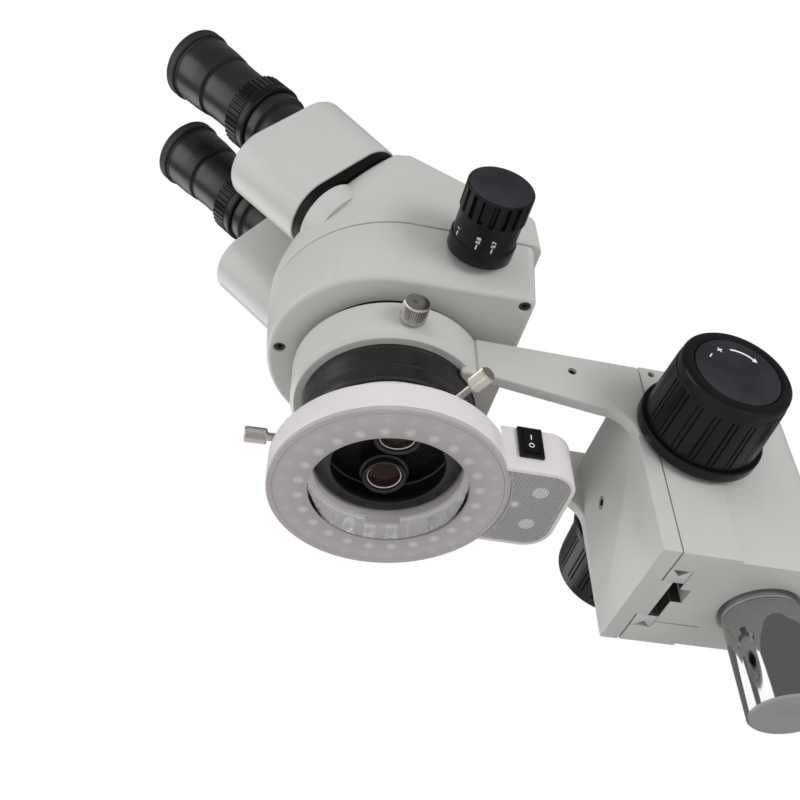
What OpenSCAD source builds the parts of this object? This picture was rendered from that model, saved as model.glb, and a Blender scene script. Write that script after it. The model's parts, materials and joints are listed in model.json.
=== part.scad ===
// Stereo zoom microscope head on a rack-and-pinion focus block, with a ring light.
// Millimetres, +Z up. The origin is on the stand post's axis, at the post's lower end.
// The optical axis stands at y = -throat. -Y is the side where the user looks in.

/* [Stand post and focus block] */
// Distance from the stand post's axis to the optical axis
throat = 155.8; // [155:0.1:158]
// Height of the holder ring's underside above the post's lower end
ring_z = 126.7; // [120:0.1:135]
// Diameter of the stand post
post_d = 32; // [30:0.5:32]
// Length of the stand post
post_len = 146; // [140:1:160]
// Half of the focus block's width at its front
block_half_w = 31.8; // [31:0.1:32.5]
// Height of the focus block
block_h = 100.7; // [98:0.1:104]
// Radius of the focus block's round back, about the post
block_back_r = 33; // [32:0.5:34]

/* [Focus drive] */
// Module of the rack and pinion
gear_module = 1; // [0.95:0.05:1]
// Number of teeth on the pinion
pinion_teeth = 15; // [15:1:15]
// Radius of the focus knob's flange
focus_flange_r = 27.2; // [25:0.1:28]
// Radius of the focus knob's body next to the flange
focus_knob_r = 25.2; // [24:0.1:25.5]
// Distance of the focus knob's outer end from the middle plane
focus_knob_end = 71.4; // [68:0.1:76]

/* [Holder ring and arm] */
// Diameter of the holder ring's bore, the standard seat of such a head
ring_bore_d = 76; // [76:0.1:76.2]
// Outer radius of the holder ring
ring_r = 43.2; // [42.5:0.1:44]
// Height of the holder ring
ring_h = 21; // [20:0.1:22]
// Half of the arm's width across its two side walls
arm_half_w = 32.8; // [32.6:0.1:33]
// Thickness of each side wall of the arm
arm_wall = 5.8; // [5:0.1:6.5]
// Height of the arm's flat top above the ring's underside
arm_top = 17.7; // [17:0.1:18.5]

/* [Microscope head] */
// Height of the head's underside above the ring's underside
head_bottom = 26.5; // [26:0.1:27.5]
// Height of the seam between the lower housing and the upper cover
seam_z = 57.8; // [57:0.1:58.5]
// Radius of the head's round front at the seam
head_r = 57.2; // [56.5:0.1:57.3]
// Distance of the lower housing's rear wall behind the optical axis
head_back = 55; // [54.5:0.1:56]
// Distance of the slanted front face from the optical axis foot, along its normal
face_dist = 88.3; // [88:0.1:89]
// Wall thickness of the cast shells
shell = 3; // [2.5:0.1:3]

/* [Eyepieces] */
// Half of the distance between the two eyepiece axes
eye_half = 28; // [27.8:0.1:29]
// Outer radius of the eyepiece tube
eyetube_r = 16; // [15.9:0.05:16]
// Radius of the eyepiece's push-in barrel
eyepiece_r = 15; // [14.5:0.1:15]
// Outer radius of the dioptre ring
dioptre_r = 20; // [19:0.1:21]

/* [Zoom knobs] */
// Outer radius of the zoom knob's grip
zoom_knob_r = 14.7; // [13:0.1:15]
// Distance of the zoom knob's outer end from the middle plane
zoom_knob_end = 90.5; // [88:0.1:94]

/* [Ring light] */
// Outer radius of the ring light
light_r = 49.7; // [49:0.1:50.5]
// Radius of the ring light's opening
light_bore_r = 31.4; // [31:0.1:31.6]
// Height of the ring light's front face below the ring's underside
light_front = 47.5; // [47:0.1:49]
// Number of light-emitting diodes in the inner row
led_count = 24; // [18:1:24]
// Running clearance on a radius
clear = 0.05; // [0.03:0.01:0.08]

/* [Hidden] */
$fn = 64;
eps = 0.01;
post_r = post_d / 2;
// The post's free lower end, up to a shallow mark groove
post_free_len = 42;

// Focus block and slide, measured from the optical axis and the ring's underside
plate_front = 99;
plate_back = 107.5;
block_front = plate_back + 0.12;
block_top = 19;
block_bottom = block_top - block_h;
block_step_y = 132.5;
block_rear_half_w = block_half_w - 1.4;
plate_half_w = 32.2;
slot_half_w = 20.5;
slot_floor = 116.8;
pad_half_w = 12.2;
pad_back = 112.1;
rail_apex_x = 16.7;
rail_mid_y = 112.3;
rail_half_h = 3.4;
rail_back_x = 23.5;
rail_bottom = block_bottom + 3.5;

// Rack and pinion
knob_y = 126.5;
knob_z = -18.4;
pitch_r = gear_module * pinion_teeth / 2;
rack_line = knob_y - pitch_r;
pressure_angle = 20;
gear_backlash = 0.12;
rack_x = 0.2;
rack_w = 7.2;
rack_addendum = 0.8 * gear_module;
rack_dedendum = 1.15 * gear_module;
pinion_addendum = 0.9 * gear_module;
pinion_dedendum = 1.05 * gear_module;
rack_half_len = 32;
shaft_r = 4;
bush_r = 7;
bush_len = 9;
flange_x = 34;
flange_t = 5;
knob_tip_r = focus_knob_r - 1.5;
left_knob_shift = 1.6;
disc_r = 18.2;
disc_t = 1.2;

// Rear post clamp
clamp_z = -30;
clamp_screw_r = 4;
clamp_knob_r = 16;
clamp_knob_len = 22;

// Holder ring
ring_bore_r = ring_bore_d / 2;
arm_inner = arm_half_w - arm_wall;
web_edge = 42.8;
web_bottom = -3;
lock_z = 10.5;
lock_shank_r = 2;
lock_head_r = 5.75;
lock_head_x = 44.2;
lock_head_len = 9;

// Head
neck_r = ring_bore_r - clear;
barrel_r = 37.5;
barrel_wall = 3.5;
nose_r = 30;
nose_top = -19;
barrel_bottom = -33.8;
thread_len = 2.5;
nose_bore_r = 24;
spigot_r = 30;
spigot_top = head_bottom + 6;
floor_t = 3.5;
lens_half = 12;
lens_tilt = 6;
cell_z = -30;
cell_r = 9.5;
lens_r = 7.8;
ridge_y = -6;
ridge_z = 118.9;
rear_slope = 30.7;
case_screw_r = 2.7;
case_screw_at = [[0, -50], [47.6, 49.4], [-47.6, 49.4]];
head_corner = 5;
overhang = 3.4;

// Prism housings: offsets in the slanted face's own frame
pivot_x = 31;
pivot_u = 36;
hub_r = 14;
lobe_x = 28.8;
lobe_half_w = 27.5;
lobe_corner = 21.5;
lobe_base_u = 85.5;
lobe_top_u = 89;
pear_pivot_r = 18.8;
eye_u = 66;
plate_t = 4;
prism_h = 50;
prism_shift = eye_u - pivot_u;
prism_w = 19;

// Zoom drive and the sliding lens carriages
zoom_y = 27.2;
zoom_z = 48.3;
zoom_shaft_r = 3;
zoom_flange_x = 57.8;
zoom_band_x = 65.5;
zoom_grip_x = 78;
rod_y = 25;
rod_r = 2;
carriage_r = 31.5;
carriage_t = 5;
carriage_lens_r = 8;
lower_carriage_z = -8;
upper_carriage_z = 10;

// Ring light
light_top = -32.4;
light_collar_r = 37;
light_collar_top = -20;
light_screw_z = -25;
light_screw_angles = [27.3, 147.3, 267.3];
light_screw_r = 1.75;
light_head_r = 3.4;
light_head_in = 51;
light_head_out = 60.5;
board_z = -37.5;
led_r = 2.5;
led_row_r = 37;
outer_row_r = 43.5;
outer_row_count = led_count + 4;
led_len = 6.2;
box_x0 = -22.5;
box_x1 = 26.4;
box_y1 = 74.4;
box_y0 = 30;
box_top = -24;
box_corner = 12;
box_wall = 2;
switch_y = 52.9;
switch_z = -33.3;
switch_w = 10.5;
switch_h = 15.6;
inlet_r = 4;
inlet_z = -36;

// ---------------------------------------------------------------- frames

// Optical axis, at the ring's underside
module at_head() {
    translate([0, -throat, ring_z]) children();
}

// Along the focus shaft: local Z runs along X
module at_focus() {
    at_head() translate([0, knob_y, knob_z]) rotate([0, 90, 0]) children();
}

// Along the zoom shaft: local Z runs along X
module at_zoom() {
    at_head() translate([0, zoom_y, zoom_z]) rotate([0, 90, 0]) children();
}

// The slanted front face: local X across it, Y up it, Z out of it
module at_face() {
    at_head() rotate([45, 0, 0]) translate([0, 0, face_dist]) children();
}

// One eyepiece axis, side = -1 on the left and 1 on the right
module at_eye(side) {
    at_face() translate([side * eye_half, eye_u, 0]) children();
}

// ---------------------------------------------------------------- repeated shapes

// Ring or tube, from z0 to z1
module tube(r_out, r_in, z0, z1) {
    translate([0, 0, z0]) difference() {
        cylinder(r = r_out, h = z1 - z0);
        translate([0, 0, -1]) cylinder(r = r_in, h = z1 - z0 + 2);
    }
}

// Rod from z0 to z1
module rod(r, z0, z1) {
    translate([0, 0, z0]) cylinder(r = r, h = z1 - z0);
}

// Rectangle with round corners, from (x0, y0) to (x1, y1)
module round_rect(x0, y0, x1, y1, r) {
    translate([x0 + r, y0]) square([x1 - x0 - 2 * r, y1 - y0]);
    translate([x0, y0 + r]) square([x1 - x0, y1 - y0 - 2 * r]);
    for (x = [x0 + r, x1 - r], y = [y0 + r, y1 - r]) translate([x, y]) circle(r);
}

// Shallow grooves around a grip, cut along its axis
module grip_cuts(count, r, z0, z1, w, depth) {
    for (i = [0 : count - 1]) rotate(i * 360 / count)
        translate([r - depth, -w / 2, z0]) cube([depth + 2, w, z1 - z0]);
}

// Outline of the head for a hull: a round front and two rounded rear corners
module head_outline(r, centre_y, half_w, back, corner) {
    translate([0, centre_y]) circle(r, $fn = 96);
    for (side = [-1, 1]) translate([side * (half_w - corner), back - corner]) circle(corner, $fn = 32);
}

// Thin layer of the head's outline, inset by a margin
module head_layer(z, r, centre_y, half_w, back, inset) {
    translate([0, 0, z]) linear_extrude(eps)
        head_outline(r - inset, centre_y, half_w - inset, back - inset, head_corner);
}

// ---------------------------------------------------------------- stand post and focus block

module support_post() color("silver") {
    chamfer = 1;
    groove = post_free_len;
    rotate_extrude($fn = 128) polygon([
        [0, 0], [post_r, 0], [post_r, groove], [post_r - 0.2, groove + 0.2],
        [post_r - 0.2, groove + 0.8], [post_r, groove + 1],
        [post_r, post_len - chamfer], [post_r - chamfer, post_len], [0, post_len]]);
}

module block_outline() {
    translate([-block_half_w, block_front]) square([2 * block_half_w, block_step_y - block_front]);
    translate([-block_rear_half_w, block_front])
        square([2 * block_rear_half_w, throat + 10 - block_front]);
    intersection() {
        translate([0, throat]) circle(block_back_r, $fn = 128);
        translate([-block_rear_half_w, throat]) square([2 * block_rear_half_w, 60]);
    }
}

module focus_housing() color([0.72, 0.72, 0.69]) {
    post_bore = post_r + clear;
    mouth_r = post_r + 1.6;
    at_head() difference() {
        translate([0, 0, block_bottom]) linear_extrude(block_h) block_outline();
        // post bore with a wide mouth at each end
        translate([0, throat, block_bottom - 1]) cylinder(r = post_bore, h = block_h + 2, $fn = 128);
        translate([0, throat, block_bottom - eps]) cylinder(r1 = mouth_r, r2 = post_bore, h = 1.6);
        translate([0, throat, block_top - 1.6 + eps]) cylinder(r1 = post_bore, r2 = mouth_r, h = 1.6);
        // slot for the slide, and the deeper groove for the rack
        translate([-slot_half_w, block_front - 1, block_bottom - 1])
            cube([2 * slot_half_w, slot_floor - block_front + 1, block_h + 2]);
        translate([rack_x - 1, block_front - 1, block_bottom - 1])
            cube([rack_w + 2, 121.6 - block_front + 1, block_h + 2]);
        // seats of the two V rails
        for (side = [-1, 1]) translate([side > 0 ? slot_half_w - 1 : -rail_back_x, rail_mid_y - rail_half_h,
                                        rail_bottom])
            cube([rail_back_x - slot_half_w + 1, 2 * rail_half_h, block_h]);
        // saw cut that lets the slot's wall spring
        translate([-16.5, slot_floor - 1, block_bottom - 1]) cube([0.8, 21, 40]);
        // pinion chamber, shaft hole and bush seats
        translate([rack_x - 1.4, knob_y, knob_z]) rotate([0, 90, 0])
            cylinder(r = pitch_r + 1.8, h = rack_w + 2.8);
        translate([-60, knob_y, knob_z]) rotate([0, 90, 0]) cylinder(r = shaft_r + 0.5, h = 120);
        for (side = [-1, 1]) translate([side * (block_half_w + 1), knob_y, knob_z])
            rotate([0, -90 * side, 0]) cylinder(r = bush_r, h = bush_len + 1);
        // clamp screw hole through the back, and the set screw hole of the right rail
        translate([0, throat + post_r - 4, clamp_z]) rotate([-90, 0, 0])
            cylinder(r = clamp_screw_r + clear, h = 40);
        translate([rail_back_x - 1, 113.1, 15.5]) rotate([0, 90, 0]) cylinder(r = 1.6, h = 20);
    }
}

module rail_profile() {
    polygon([[rail_back_x, -rail_half_h], [slot_half_w, -rail_half_h], [rail_apex_x, 0],
             [slot_half_w, rail_half_h], [rail_back_x, rail_half_h]]);
}

module slide_rails() color("silver") {
    at_head() for (side = [0, 1]) mirror([side, 0, 0])
        translate([0, rail_mid_y, rail_bottom]) linear_extrude(block_top - rail_bottom) rail_profile();
}

module rail_set_screw() color("dimgray") {
    at_head() translate([rail_back_x + 0.1, 113.1, 15.5]) rotate([0, 90, 0]) difference() {
        cylinder(r = 1.58, h = 6.5);
        translate([0, 0, 4.5]) cylinder(r = 0.9, h = 3, $fn = 6);
    }
}

module pinion_bushes() color("goldenrod") {
    at_focus() for (side = [-1, 1]) scale([1, 1, side])
        tube(bush_r, shaft_r + clear, block_half_w - bush_len, block_half_w + 1.2);
}

module post_clamp_screw() color("silver") {
    at_head() translate([0, throat + post_r + 0.1, clamp_z]) rotate([-90, 0, 0])
        cylinder(r = clamp_screw_r, h = block_back_r - post_r + clamp_knob_len - 4.1);
}

module post_clamp_knob() color([0.1, 0.1, 0.1]) {
    at_head() translate([0, throat + block_back_r + 1, clamp_z]) rotate([-90, 0, 0]) difference() {
        union() {
            cylinder(r = clamp_knob_r * 0.6, h = 5);
            translate([0, 0, 4]) cylinder(r = clamp_knob_r, h = clamp_knob_len - 5.5);
            translate([0, 0, clamp_knob_len - 1.5])
                cylinder(r1 = clamp_knob_r, r2 = clamp_knob_r - 1.5, h = 1.5);
        }
        translate([0, 0, -1]) cylinder(r = clamp_screw_r, h = clamp_knob_len - 4);
        grip_cuts(18, clamp_knob_r, 7, clamp_knob_len - 4, 1.6, 1);
    }
}

// ---------------------------------------------------------------- slide, arm and holder ring

// Side view of one arm wall, seen along X: y to the right, z up
module arm_profile() {
    shoulder_r = 13;
    polygon([[31, arm_top], [31, -2.6], [86, -11.3], [plate_front, -13.3], [plate_back, -13.3],
             [plate_back, arm_top]]);
    difference() {
        translate([plate_front - shoulder_r, -13 - shoulder_r])
            square([shoulder_r + 2, shoulder_r + 2]);
        translate([plate_front - shoulder_r, -11.3 - shoulder_r]) circle(shoulder_r, $fn = 96);
        translate([plate_front - 2 * shoulder_r, -30 - shoulder_r]) square([2 * shoulder_r, 31.6]);
    }
}

module slide_bracket() color([0.74, 0.74, 0.71]) {
    at_head() difference() {
        union() {
            // holder ring with a bevelled lower rim
            cylinder(r1 = ring_r - 1.7, r2 = ring_r, h = 2.5, $fn = 128);
            translate([0, 0, 2.5]) cylinder(r = ring_r, h = ring_h - 2.5, $fn = 128);
            // two side walls and the web that joins them to the ring
            for (x = [-arm_half_w, arm_half_w - arm_wall]) translate([x, 0, 0])
                rotate([90, 0, 90]) linear_extrude(arm_wall) arm_profile();
            translate([-arm_half_w + 1, 24, web_bottom])
                cube([2 * arm_half_w - 2, web_edge - 24, arm_top - web_bottom]);
            // slide plate, bevelled at the top of its front, with the pad that enters the slot
            translate([-plate_half_w, 0, 0]) rotate([90, 0, 90]) linear_extrude(2 * plate_half_w)
                polygon([[plate_front, block_bottom], [plate_back, block_bottom], [plate_back, arm_top],
                         [plate_back - 1, arm_top], [plate_front, 6.6]]);
            translate([-pad_half_w, plate_back - 1, block_bottom])
                cube([2 * pad_half_w, pad_back - plate_back + 1, arm_top - block_bottom]);
        }
        translate([0, 0, -20]) cylinder(r = ring_bore_r, h = 60, $fn = 128);
        // lock screw hole, two set screw holes
        translate([30, 0, lock_z]) rotate([0, 90, 0]) cylinder(r = lock_shank_r + clear, h = 20);
        translate([arm_half_w - 4, 74.3, 7.7]) rotate([0, 90, 0]) cylinder(r = 2, h = 6);
        translate([-9.3, plate_front - 1, -27.8]) rotate([-90, 0, 0]) cylinder(r = 3, h = 6);
    }
}

module slide_strips() color("lightgray") {
    outer = slot_half_w - 0.1;
    notch = rail_apex_x - 0.12;
    back = slot_floor - 0.2;
    at_head() for (side = [0, 1]) mirror([side, 0, 0])
        translate([0, 0, block_bottom]) linear_extrude(arm_top - block_bottom)
            polygon([[pad_half_w, plate_back], [outer, plate_back],
                     [outer, rail_mid_y - rail_half_h - 0.1], [notch, rail_mid_y],
                     [outer, rail_mid_y + rail_half_h + 0.1], [outer, back], [pad_half_w, back]]);
}

// Rack: straight teeth along Z that point to +Y
module focus_rack() color("goldenrod") {
    pitch = PI * gear_module;
    lean = tan(pressure_angle);
    half_at_line = pitch / 4 - gear_backlash / 2;
    tip = rack_line + rack_addendum;
    root = rack_line - rack_dedendum;
    teeth = floor(rack_half_len / pitch);
    at_head() {
        translate([rack_x, pad_back, knob_z - rack_half_len])
            cube([rack_w, root - pad_back, 2 * rack_half_len]);
        translate([rack_x, 0, knob_z]) rotate([90, 0, 90]) linear_extrude(rack_w)
            for (i = [-teeth : teeth - 1]) translate([0, (i + 0.5) * pitch])
                polygon([[root - 0.2, -half_at_line - rack_dedendum * lean],
                         [tip, -half_at_line + rack_addendum * lean],
                         [tip, half_at_line - rack_addendum * lean],
                         [root - 0.2, half_at_line + rack_dedendum * lean]]);
    }
}

module bracket_screws() color("dimgray") {
    at_head() {
        translate([arm_half_w - 3.9, 74.3, 7.7]) rotate([0, 90, 0]) difference() {
            cylinder(r = 1.96, h = 3.2);
            translate([0, 0, 1.4]) cylinder(r = 1.1, h = 3, $fn = 6);
        }
        translate([-9.3, plate_front + 4.9, -27.8]) rotate([90, 0, 0]) difference() {
            cylinder(r = 2.96, h = 4);
            translate([0, 0, 1.4]) cylinder(r = 1.5, h = 3, $fn = 6);
        }
    }
}

// ---------------------------------------------------------------- focus pinion and knobs

// Angle, in degrees, that the involute has turned where it reaches a radius
function roll(base_r, r) = let (k = sqrt(pow(max(r, base_r) / base_r, 2) - 1)) k * 180 / PI - atan(k);

module pinion_outline() {
    base_r = pitch_r * cos(pressure_angle);
    tip_r = pitch_r + pinion_addendum;
    root_r = pitch_r - pinion_dedendum;
    half_angle = 90 / pinion_teeth - gear_backlash / 2 / pitch_r * 90 / PI;
    steps = 5;
    circle(root_r);
    for (i = [0 : pinion_teeth - 1]) rotate(i * 360 / pinion_teeth) polygon(concat(
        [[(root_r - 1) * cos(half_angle), -(root_r - 1) * sin(half_angle)]],
        [for (s = [0 : steps]) let (
            r = max(base_r, root_r) + (tip_r - max(base_r, root_r)) * s / steps,
            a = half_angle + roll(base_r, pitch_r) - roll(base_r, r)) [r * cos(a), -r * sin(a)]],
        [for (s = [steps : -1 : 0]) let (
            r = max(base_r, root_r) + (tip_r - max(base_r, root_r)) * s / steps,
            a = half_angle + roll(base_r, pitch_r) - roll(base_r, r)) [r * cos(a), r * sin(a)]],
        [[(root_r - 1) * cos(half_angle), (root_r - 1) * sin(half_angle)]]));
}

module pinion_shaft() color("silver") {
    at_focus() {
        rod(shaft_r, -focus_knob_end - left_knob_shift + 12, focus_knob_end - 12);
        // one tooth points to the rack, which lies on the shaft's -Y side
        translate([0, 0, rack_x - 0.4]) linear_extrude(rack_w + 0.8) rotate(-90) pinion_outline();
    }
}

module focus_knob() {
    body_x = flange_x + flange_t;
    bevel = 1.8;
    difference() {
        union() {
            rod(focus_flange_r, flange_x, body_x);
            translate([0, 0, body_x])
                cylinder(r1 = focus_knob_r, r2 = knob_tip_r, h = focus_knob_end - bevel - body_x, $fn = 96);
            translate([0, 0, focus_knob_end - bevel])
                cylinder(r1 = knob_tip_r, r2 = knob_tip_r - bevel, h = bevel, $fn = 96);
        }
        rod(shaft_r, flange_x - 1, focus_knob_end - 12);
        rod(disc_r, focus_knob_end - disc_t, focus_knob_end + 1);
        grip_cuts(20, focus_knob_r, body_x + 2, focus_knob_end - 6, 1.2, 1.6);
    }
}

module focus_knob_right() color([0.08, 0.08, 0.09]) {
    at_focus() focus_knob();
}

module focus_knob_left() color([0.08, 0.08, 0.09]) {
    at_focus() mirror([0, 0, 1]) translate([0, 0, left_knob_shift]) focus_knob();
}

module knob_discs() color([0.2, 0.2, 0.22]) {
    at_focus() {
        rod(disc_r - 0.1, focus_knob_end - disc_t, focus_knob_end - 0.2);
        mirror([0, 0, 1]) translate([0, 0, left_knob_shift])
            rod(disc_r - 0.1, focus_knob_end - disc_t, focus_knob_end - 0.2);
    }
}

module head_lock_screw() color("gainsboro") {
    at_head() translate([0, 0, lock_z]) rotate([0, 90, 0]) difference() {
        union() {
            rod(lock_shank_r, neck_r + 0.1, lock_head_x + 1);
            rod(lock_head_r, lock_head_x, lock_head_x + lock_head_len);
        }
        grip_cuts(24, lock_head_r, lock_head_x + 0.8, lock_head_x + lock_head_len - 0.8, 0.5, 0.4);
    }
}

// ---------------------------------------------------------------- head shells and barrel

module lower_housing() color([0.75, 0.75, 0.72]) {
    bottom_r = 51;
    bottom_half_w = 53;
    bottom_back = head_back - 0.8;
    edge = 2.5;
    at_head() {
        difference() {
            hull() {
                head_layer(head_bottom, bottom_r, -4.5, bottom_half_w, bottom_back, edge);
                head_layer(head_bottom + 0.8, bottom_r, -4.5, bottom_half_w, bottom_back, edge * 0.3);
                head_layer(head_bottom + edge, bottom_r + 0.3, -4.5, bottom_half_w + 0.3, bottom_back, 0);
                head_layer(seam_z - eps, head_r, 0, head_r + 0.1, head_back, 0);
            }
            hull() {
                head_layer(head_bottom + floor_t, bottom_r, -4.5, bottom_half_w, bottom_back, shell);
                head_layer(seam_z + eps, head_r, 0, head_r + 0.1, head_back, shell);
            }
            rod(spigot_r, head_bottom - 1, head_bottom + floor_t + 1);
            for (p = case_screw_at) translate([p.x, p.y, head_bottom - 1]) {
                cylinder(r = case_screw_r, h = 5);
                cylinder(r = 1.3, h = 16);
            }
            for (side = [-1, 1]) translate([side * 40, zoom_y, zoom_z]) rotate([0, 90 * side, 0])
                cylinder(r = zoom_shaft_r + clear, h = 20);
        }
        // bosses that carry the zoom shaft
        for (side = [-1, 1]) translate([0, zoom_y, zoom_z]) rotate([0, 90 * side, 0])
            tube(6, zoom_shaft_r + clear, 44, 53.6);
    }
}

// Everything under the slanted front face and under the sloping back
module cover_space(inset) {
    difference() {
        translate([-80, -80, 0]) cube([160, 160, 140]);
        rotate([45, 0, 0]) translate([-90, -140, face_dist - inset]) cube([180, 300, 100]);
        translate([0, ridge_y, ridge_z - inset / cos(rear_slope)]) rotate([-rear_slope, 0, 0])
            translate([-90, -60, 0]) cube([180, 200, 100]);
    }
}

module upper_cover() color([0.75, 0.75, 0.72]) {
    top = 119;
    draft = 1.4;
    at_head() difference() {
        intersection() {
            hull() {
                head_layer(seam_z + 0.4, head_r, 0, head_r + 0.6, head_back + overhang, 0);
                head_layer(top, head_r, 0, head_r + 0.6, head_back + overhang, draft);
            }
            cover_space(0);
        }
        intersection() {
            hull() {
                head_layer(seam_z - 1, head_r, 0, head_r + 0.6, head_back, shell);
                head_layer(top, head_r, 0, head_r + 0.6, head_back, shell + draft);
            }
            cover_space(shell);
        }
        // bearings of the two prism housings
        for (side = [-1, 1]) rotate([45, 0, 0]) translate([side * pivot_x, pivot_u, face_dist - 10])
            cylinder(r = hub_r + clear, h = 20);
    }
}

module neck_barrel() color([0.13, 0.13, 0.13]) {
    at_head() rotate_extrude($fn = 128) polygon([
        [nose_bore_r, barrel_bottom], [nose_r - 1, barrel_bottom], [nose_r, barrel_bottom + 1],
        [nose_r, nose_top - 2], [nose_r + 2, nose_top], [barrel_r - 1, nose_top], [barrel_r, nose_top + 1],
        [barrel_r, -1], [neck_r, -0.5], [neck_r, head_bottom], [spigot_r, head_bottom],
        [spigot_r, spigot_top], [spigot_r - 3, spigot_top], [spigot_r - 3, head_bottom - 1],
        [barrel_r - barrel_wall, head_bottom - 4], [barrel_r - barrel_wall, nose_top + 3.5],
        [nose_r - 3, nose_top + 3.5], [nose_r - 3, barrel_bottom + thread_len],
        [nose_bore_r, barrel_bottom + thread_len]]);
}

module objective_cells() color([0.15, 0.15, 0.15]) {
    at_head() for (side = [-1, 1]) translate([side * lens_half, 1, cell_z]) rotate([0, side * lens_tilt, 0]) {
        tube(cell_r, lens_r, 0, 12);
        tube(cell_r + 1.2, lens_r, 3, 4.5);
    }
    // cross plate that holds both cells inside the nose
    at_head() difference() {
        rod(nose_r - 3.1, cell_z + 12.5, cell_z + 15);
        for (side = [-1, 1]) translate([side * (lens_half + 1.5), 1, cell_z])
            cylinder(r = lens_r, h = 30);
    }
}

module objective_lenses() color([0.4, 0.3, 0.25]) {
    at_head() for (side = [-1, 1]) translate([side * lens_half, 1, cell_z]) rotate([0, side * lens_tilt, 0])
        rod(lens_r - 0.05, 2, 6);
}

module case_screws() color("dimgray") {
    at_head() for (p = case_screw_at) translate([p.x, p.y, head_bottom + 1.2]) difference() {
        union() {
            cylinder(r = case_screw_r - 0.05, h = 1.8);
            cylinder(r = 1.25, h = 12);
        }
        translate([0, 0, -1]) cylinder(r = 1.2, h = 2, $fn = 6);
    }
}

module zoom_guide_rods() color("silver") {
    at_head() for (y = [-rod_y, rod_y]) translate([0, y, 0]) rod(rod_r, cell_z + 15, head_bottom + 8);
}

module prism_frame() color("silver") {
    z0 = spigot_top;
    at_head() difference() {
        translate([-34, -29, z0]) cube([68, 58, 3]);
        for (side = [-1, 1]) translate([side * 17, 1, z0 - 1]) cylinder(r = 9, h = 5);
        for (y = [-rod_y, rod_y]) translate([0, y, z0 - 1]) cylinder(r = rod_r, h = 5);
    }
}

module bend_prisms() color([0.7, 0.8, 0.85]) {
    z0 = spigot_top + 3;
    at_head() for (x = [-26.5, 7.5]) translate([x, 0, z0]) rotate([90, 0, 90]) linear_extrude(19)
        polygon([[-10, 0], [12, 0], [12, 9], [-4, 24], [-12, 16]]);
}

// ---------------------------------------------------------------- zoom drive

module lens_carriage(z) {
    difference() {
        rod(carriage_r - 3, z, z + carriage_t);
        for (side = [-1, 1]) translate([side * (lens_half + 2), 1, z - 1])
            cylinder(r = carriage_lens_r, h = carriage_t + 2);
        for (y = [-rod_y, rod_y]) translate([0, y, z - 1])
            cylinder(r = rod_r + clear, h = carriage_t + 2);
    }
}

module carriage_lenses(z) {
    for (side = [-1, 1]) translate([side * (lens_half + 2), 1, 0])
        rod(carriage_lens_r, z + 0.5, z + carriage_t - 0.5);
}

module lens_carriage_lower() color([0.2, 0.2, 0.2]) {
    at_head() lens_carriage(lower_carriage_z);
}

module carriage_lenses_lower() color([0.7, 0.8, 0.85]) {
    at_head() carriage_lenses(lower_carriage_z);
}

module lens_carriage_upper() color([0.2, 0.2, 0.2]) {
    at_head() lens_carriage(upper_carriage_z);
}

module carriage_lenses_upper() color([0.7, 0.8, 0.85]) {
    at_head() carriage_lenses(upper_carriage_z);
}

module zoom_shaft() color("silver") {
    at_zoom() rod(zoom_shaft_r, -zoom_knob_end + 8, zoom_knob_end - 8);
}

module zoom_knob() {
    band_r = zoom_knob_r - 0.7;
    difference() {
        union() {
            rod(zoom_knob_r, zoom_flange_x, zoom_band_x);
            rod(band_r, zoom_band_x - 1, zoom_grip_x + 1);
            rod(zoom_knob_r, zoom_grip_x, zoom_knob_end - 1);
            translate([0, 0, zoom_knob_end - 1])
                cylinder(r1 = zoom_knob_r, r2 = zoom_knob_r - 1, h = 1);
        }
        rod(zoom_shaft_r, zoom_flange_x - 1, zoom_knob_end - 8);
        grip_cuts(18, zoom_knob_r, zoom_grip_x + 1, zoom_knob_end + 1, 1, 0.8);
    }
}

module zoom_knob_right() color([0.1, 0.1, 0.11]) {
    at_zoom() zoom_knob();
}

module zoom_knob_left() color([0.1, 0.1, 0.11]) {
    at_zoom() mirror([0, 0, 1]) zoom_knob();
}

// ---------------------------------------------------------------- prism housings and eyepieces

// Outline of a prism housing for a hull: round at the pivot, broad under the eyepiece
module pear_layer(side, h, top_u, inset) {
    corner_r = lobe_corner - inset;
    translate([side * pivot_x, pivot_u, h]) cylinder(r = pear_pivot_r - inset, h = eps, $fn = 48);
    for (dx = [-1, 1]) translate([side * lobe_x + dx * (lobe_half_w - lobe_corner),
                                  top_u - lobe_corner, h])
        cylinder(r = corner_r, h = eps, $fn = 48);
}

module pivot_flange(side) {
    difference() {
        union() {
            hull() {
                pear_layer(side, clear, lobe_base_u, 1.2);
                pear_layer(side, plate_t - eps, lobe_base_u, 0.6);
            }
            translate([side * pivot_x, pivot_u, 0]) rod(hub_r, -shell - 4, plate_t);
        }
        translate([side * pivot_x, pivot_u, 0]) rod(10, -shell - 5, plate_t + 1);
    }
    // snap ring that keeps the hub in its bearing, open towards the cover's wall
    translate([side * pivot_x, pivot_u, 0]) intersection() {
        tube(hub_r + 1.5, hub_r - eps, -shell - 2.5, -shell - 1);
        translate([side > 0 ? -20 : 4, -20, -20]) cube([16, 40, 20]);
    }
}

module prism_housing(side) {
    wall = 2.5;
    roof = 3;
    difference() {
        hull() {
            pear_layer(side, plate_t, lobe_base_u, 0);
            pear_layer(side, prism_h - 3, lobe_top_u, 0.3);
            pear_layer(side, prism_h - 0.9, lobe_top_u, 1.2);
            pear_layer(side, prism_h, lobe_top_u, 3.3);
        }
        hull() {
            pear_layer(side, plate_t - 1, lobe_base_u, wall);
            pear_layer(side, prism_h - roof, lobe_top_u, wall + 0.3);
        }
        translate([side * eye_half, eye_u, 0]) rod(eyetube_r, prism_h - 10, prism_h + 1);
        translate([side * eye_half, eye_u, plate_t - 1]) cylinder(r = 3, h = 1.5);
    }
}

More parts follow.
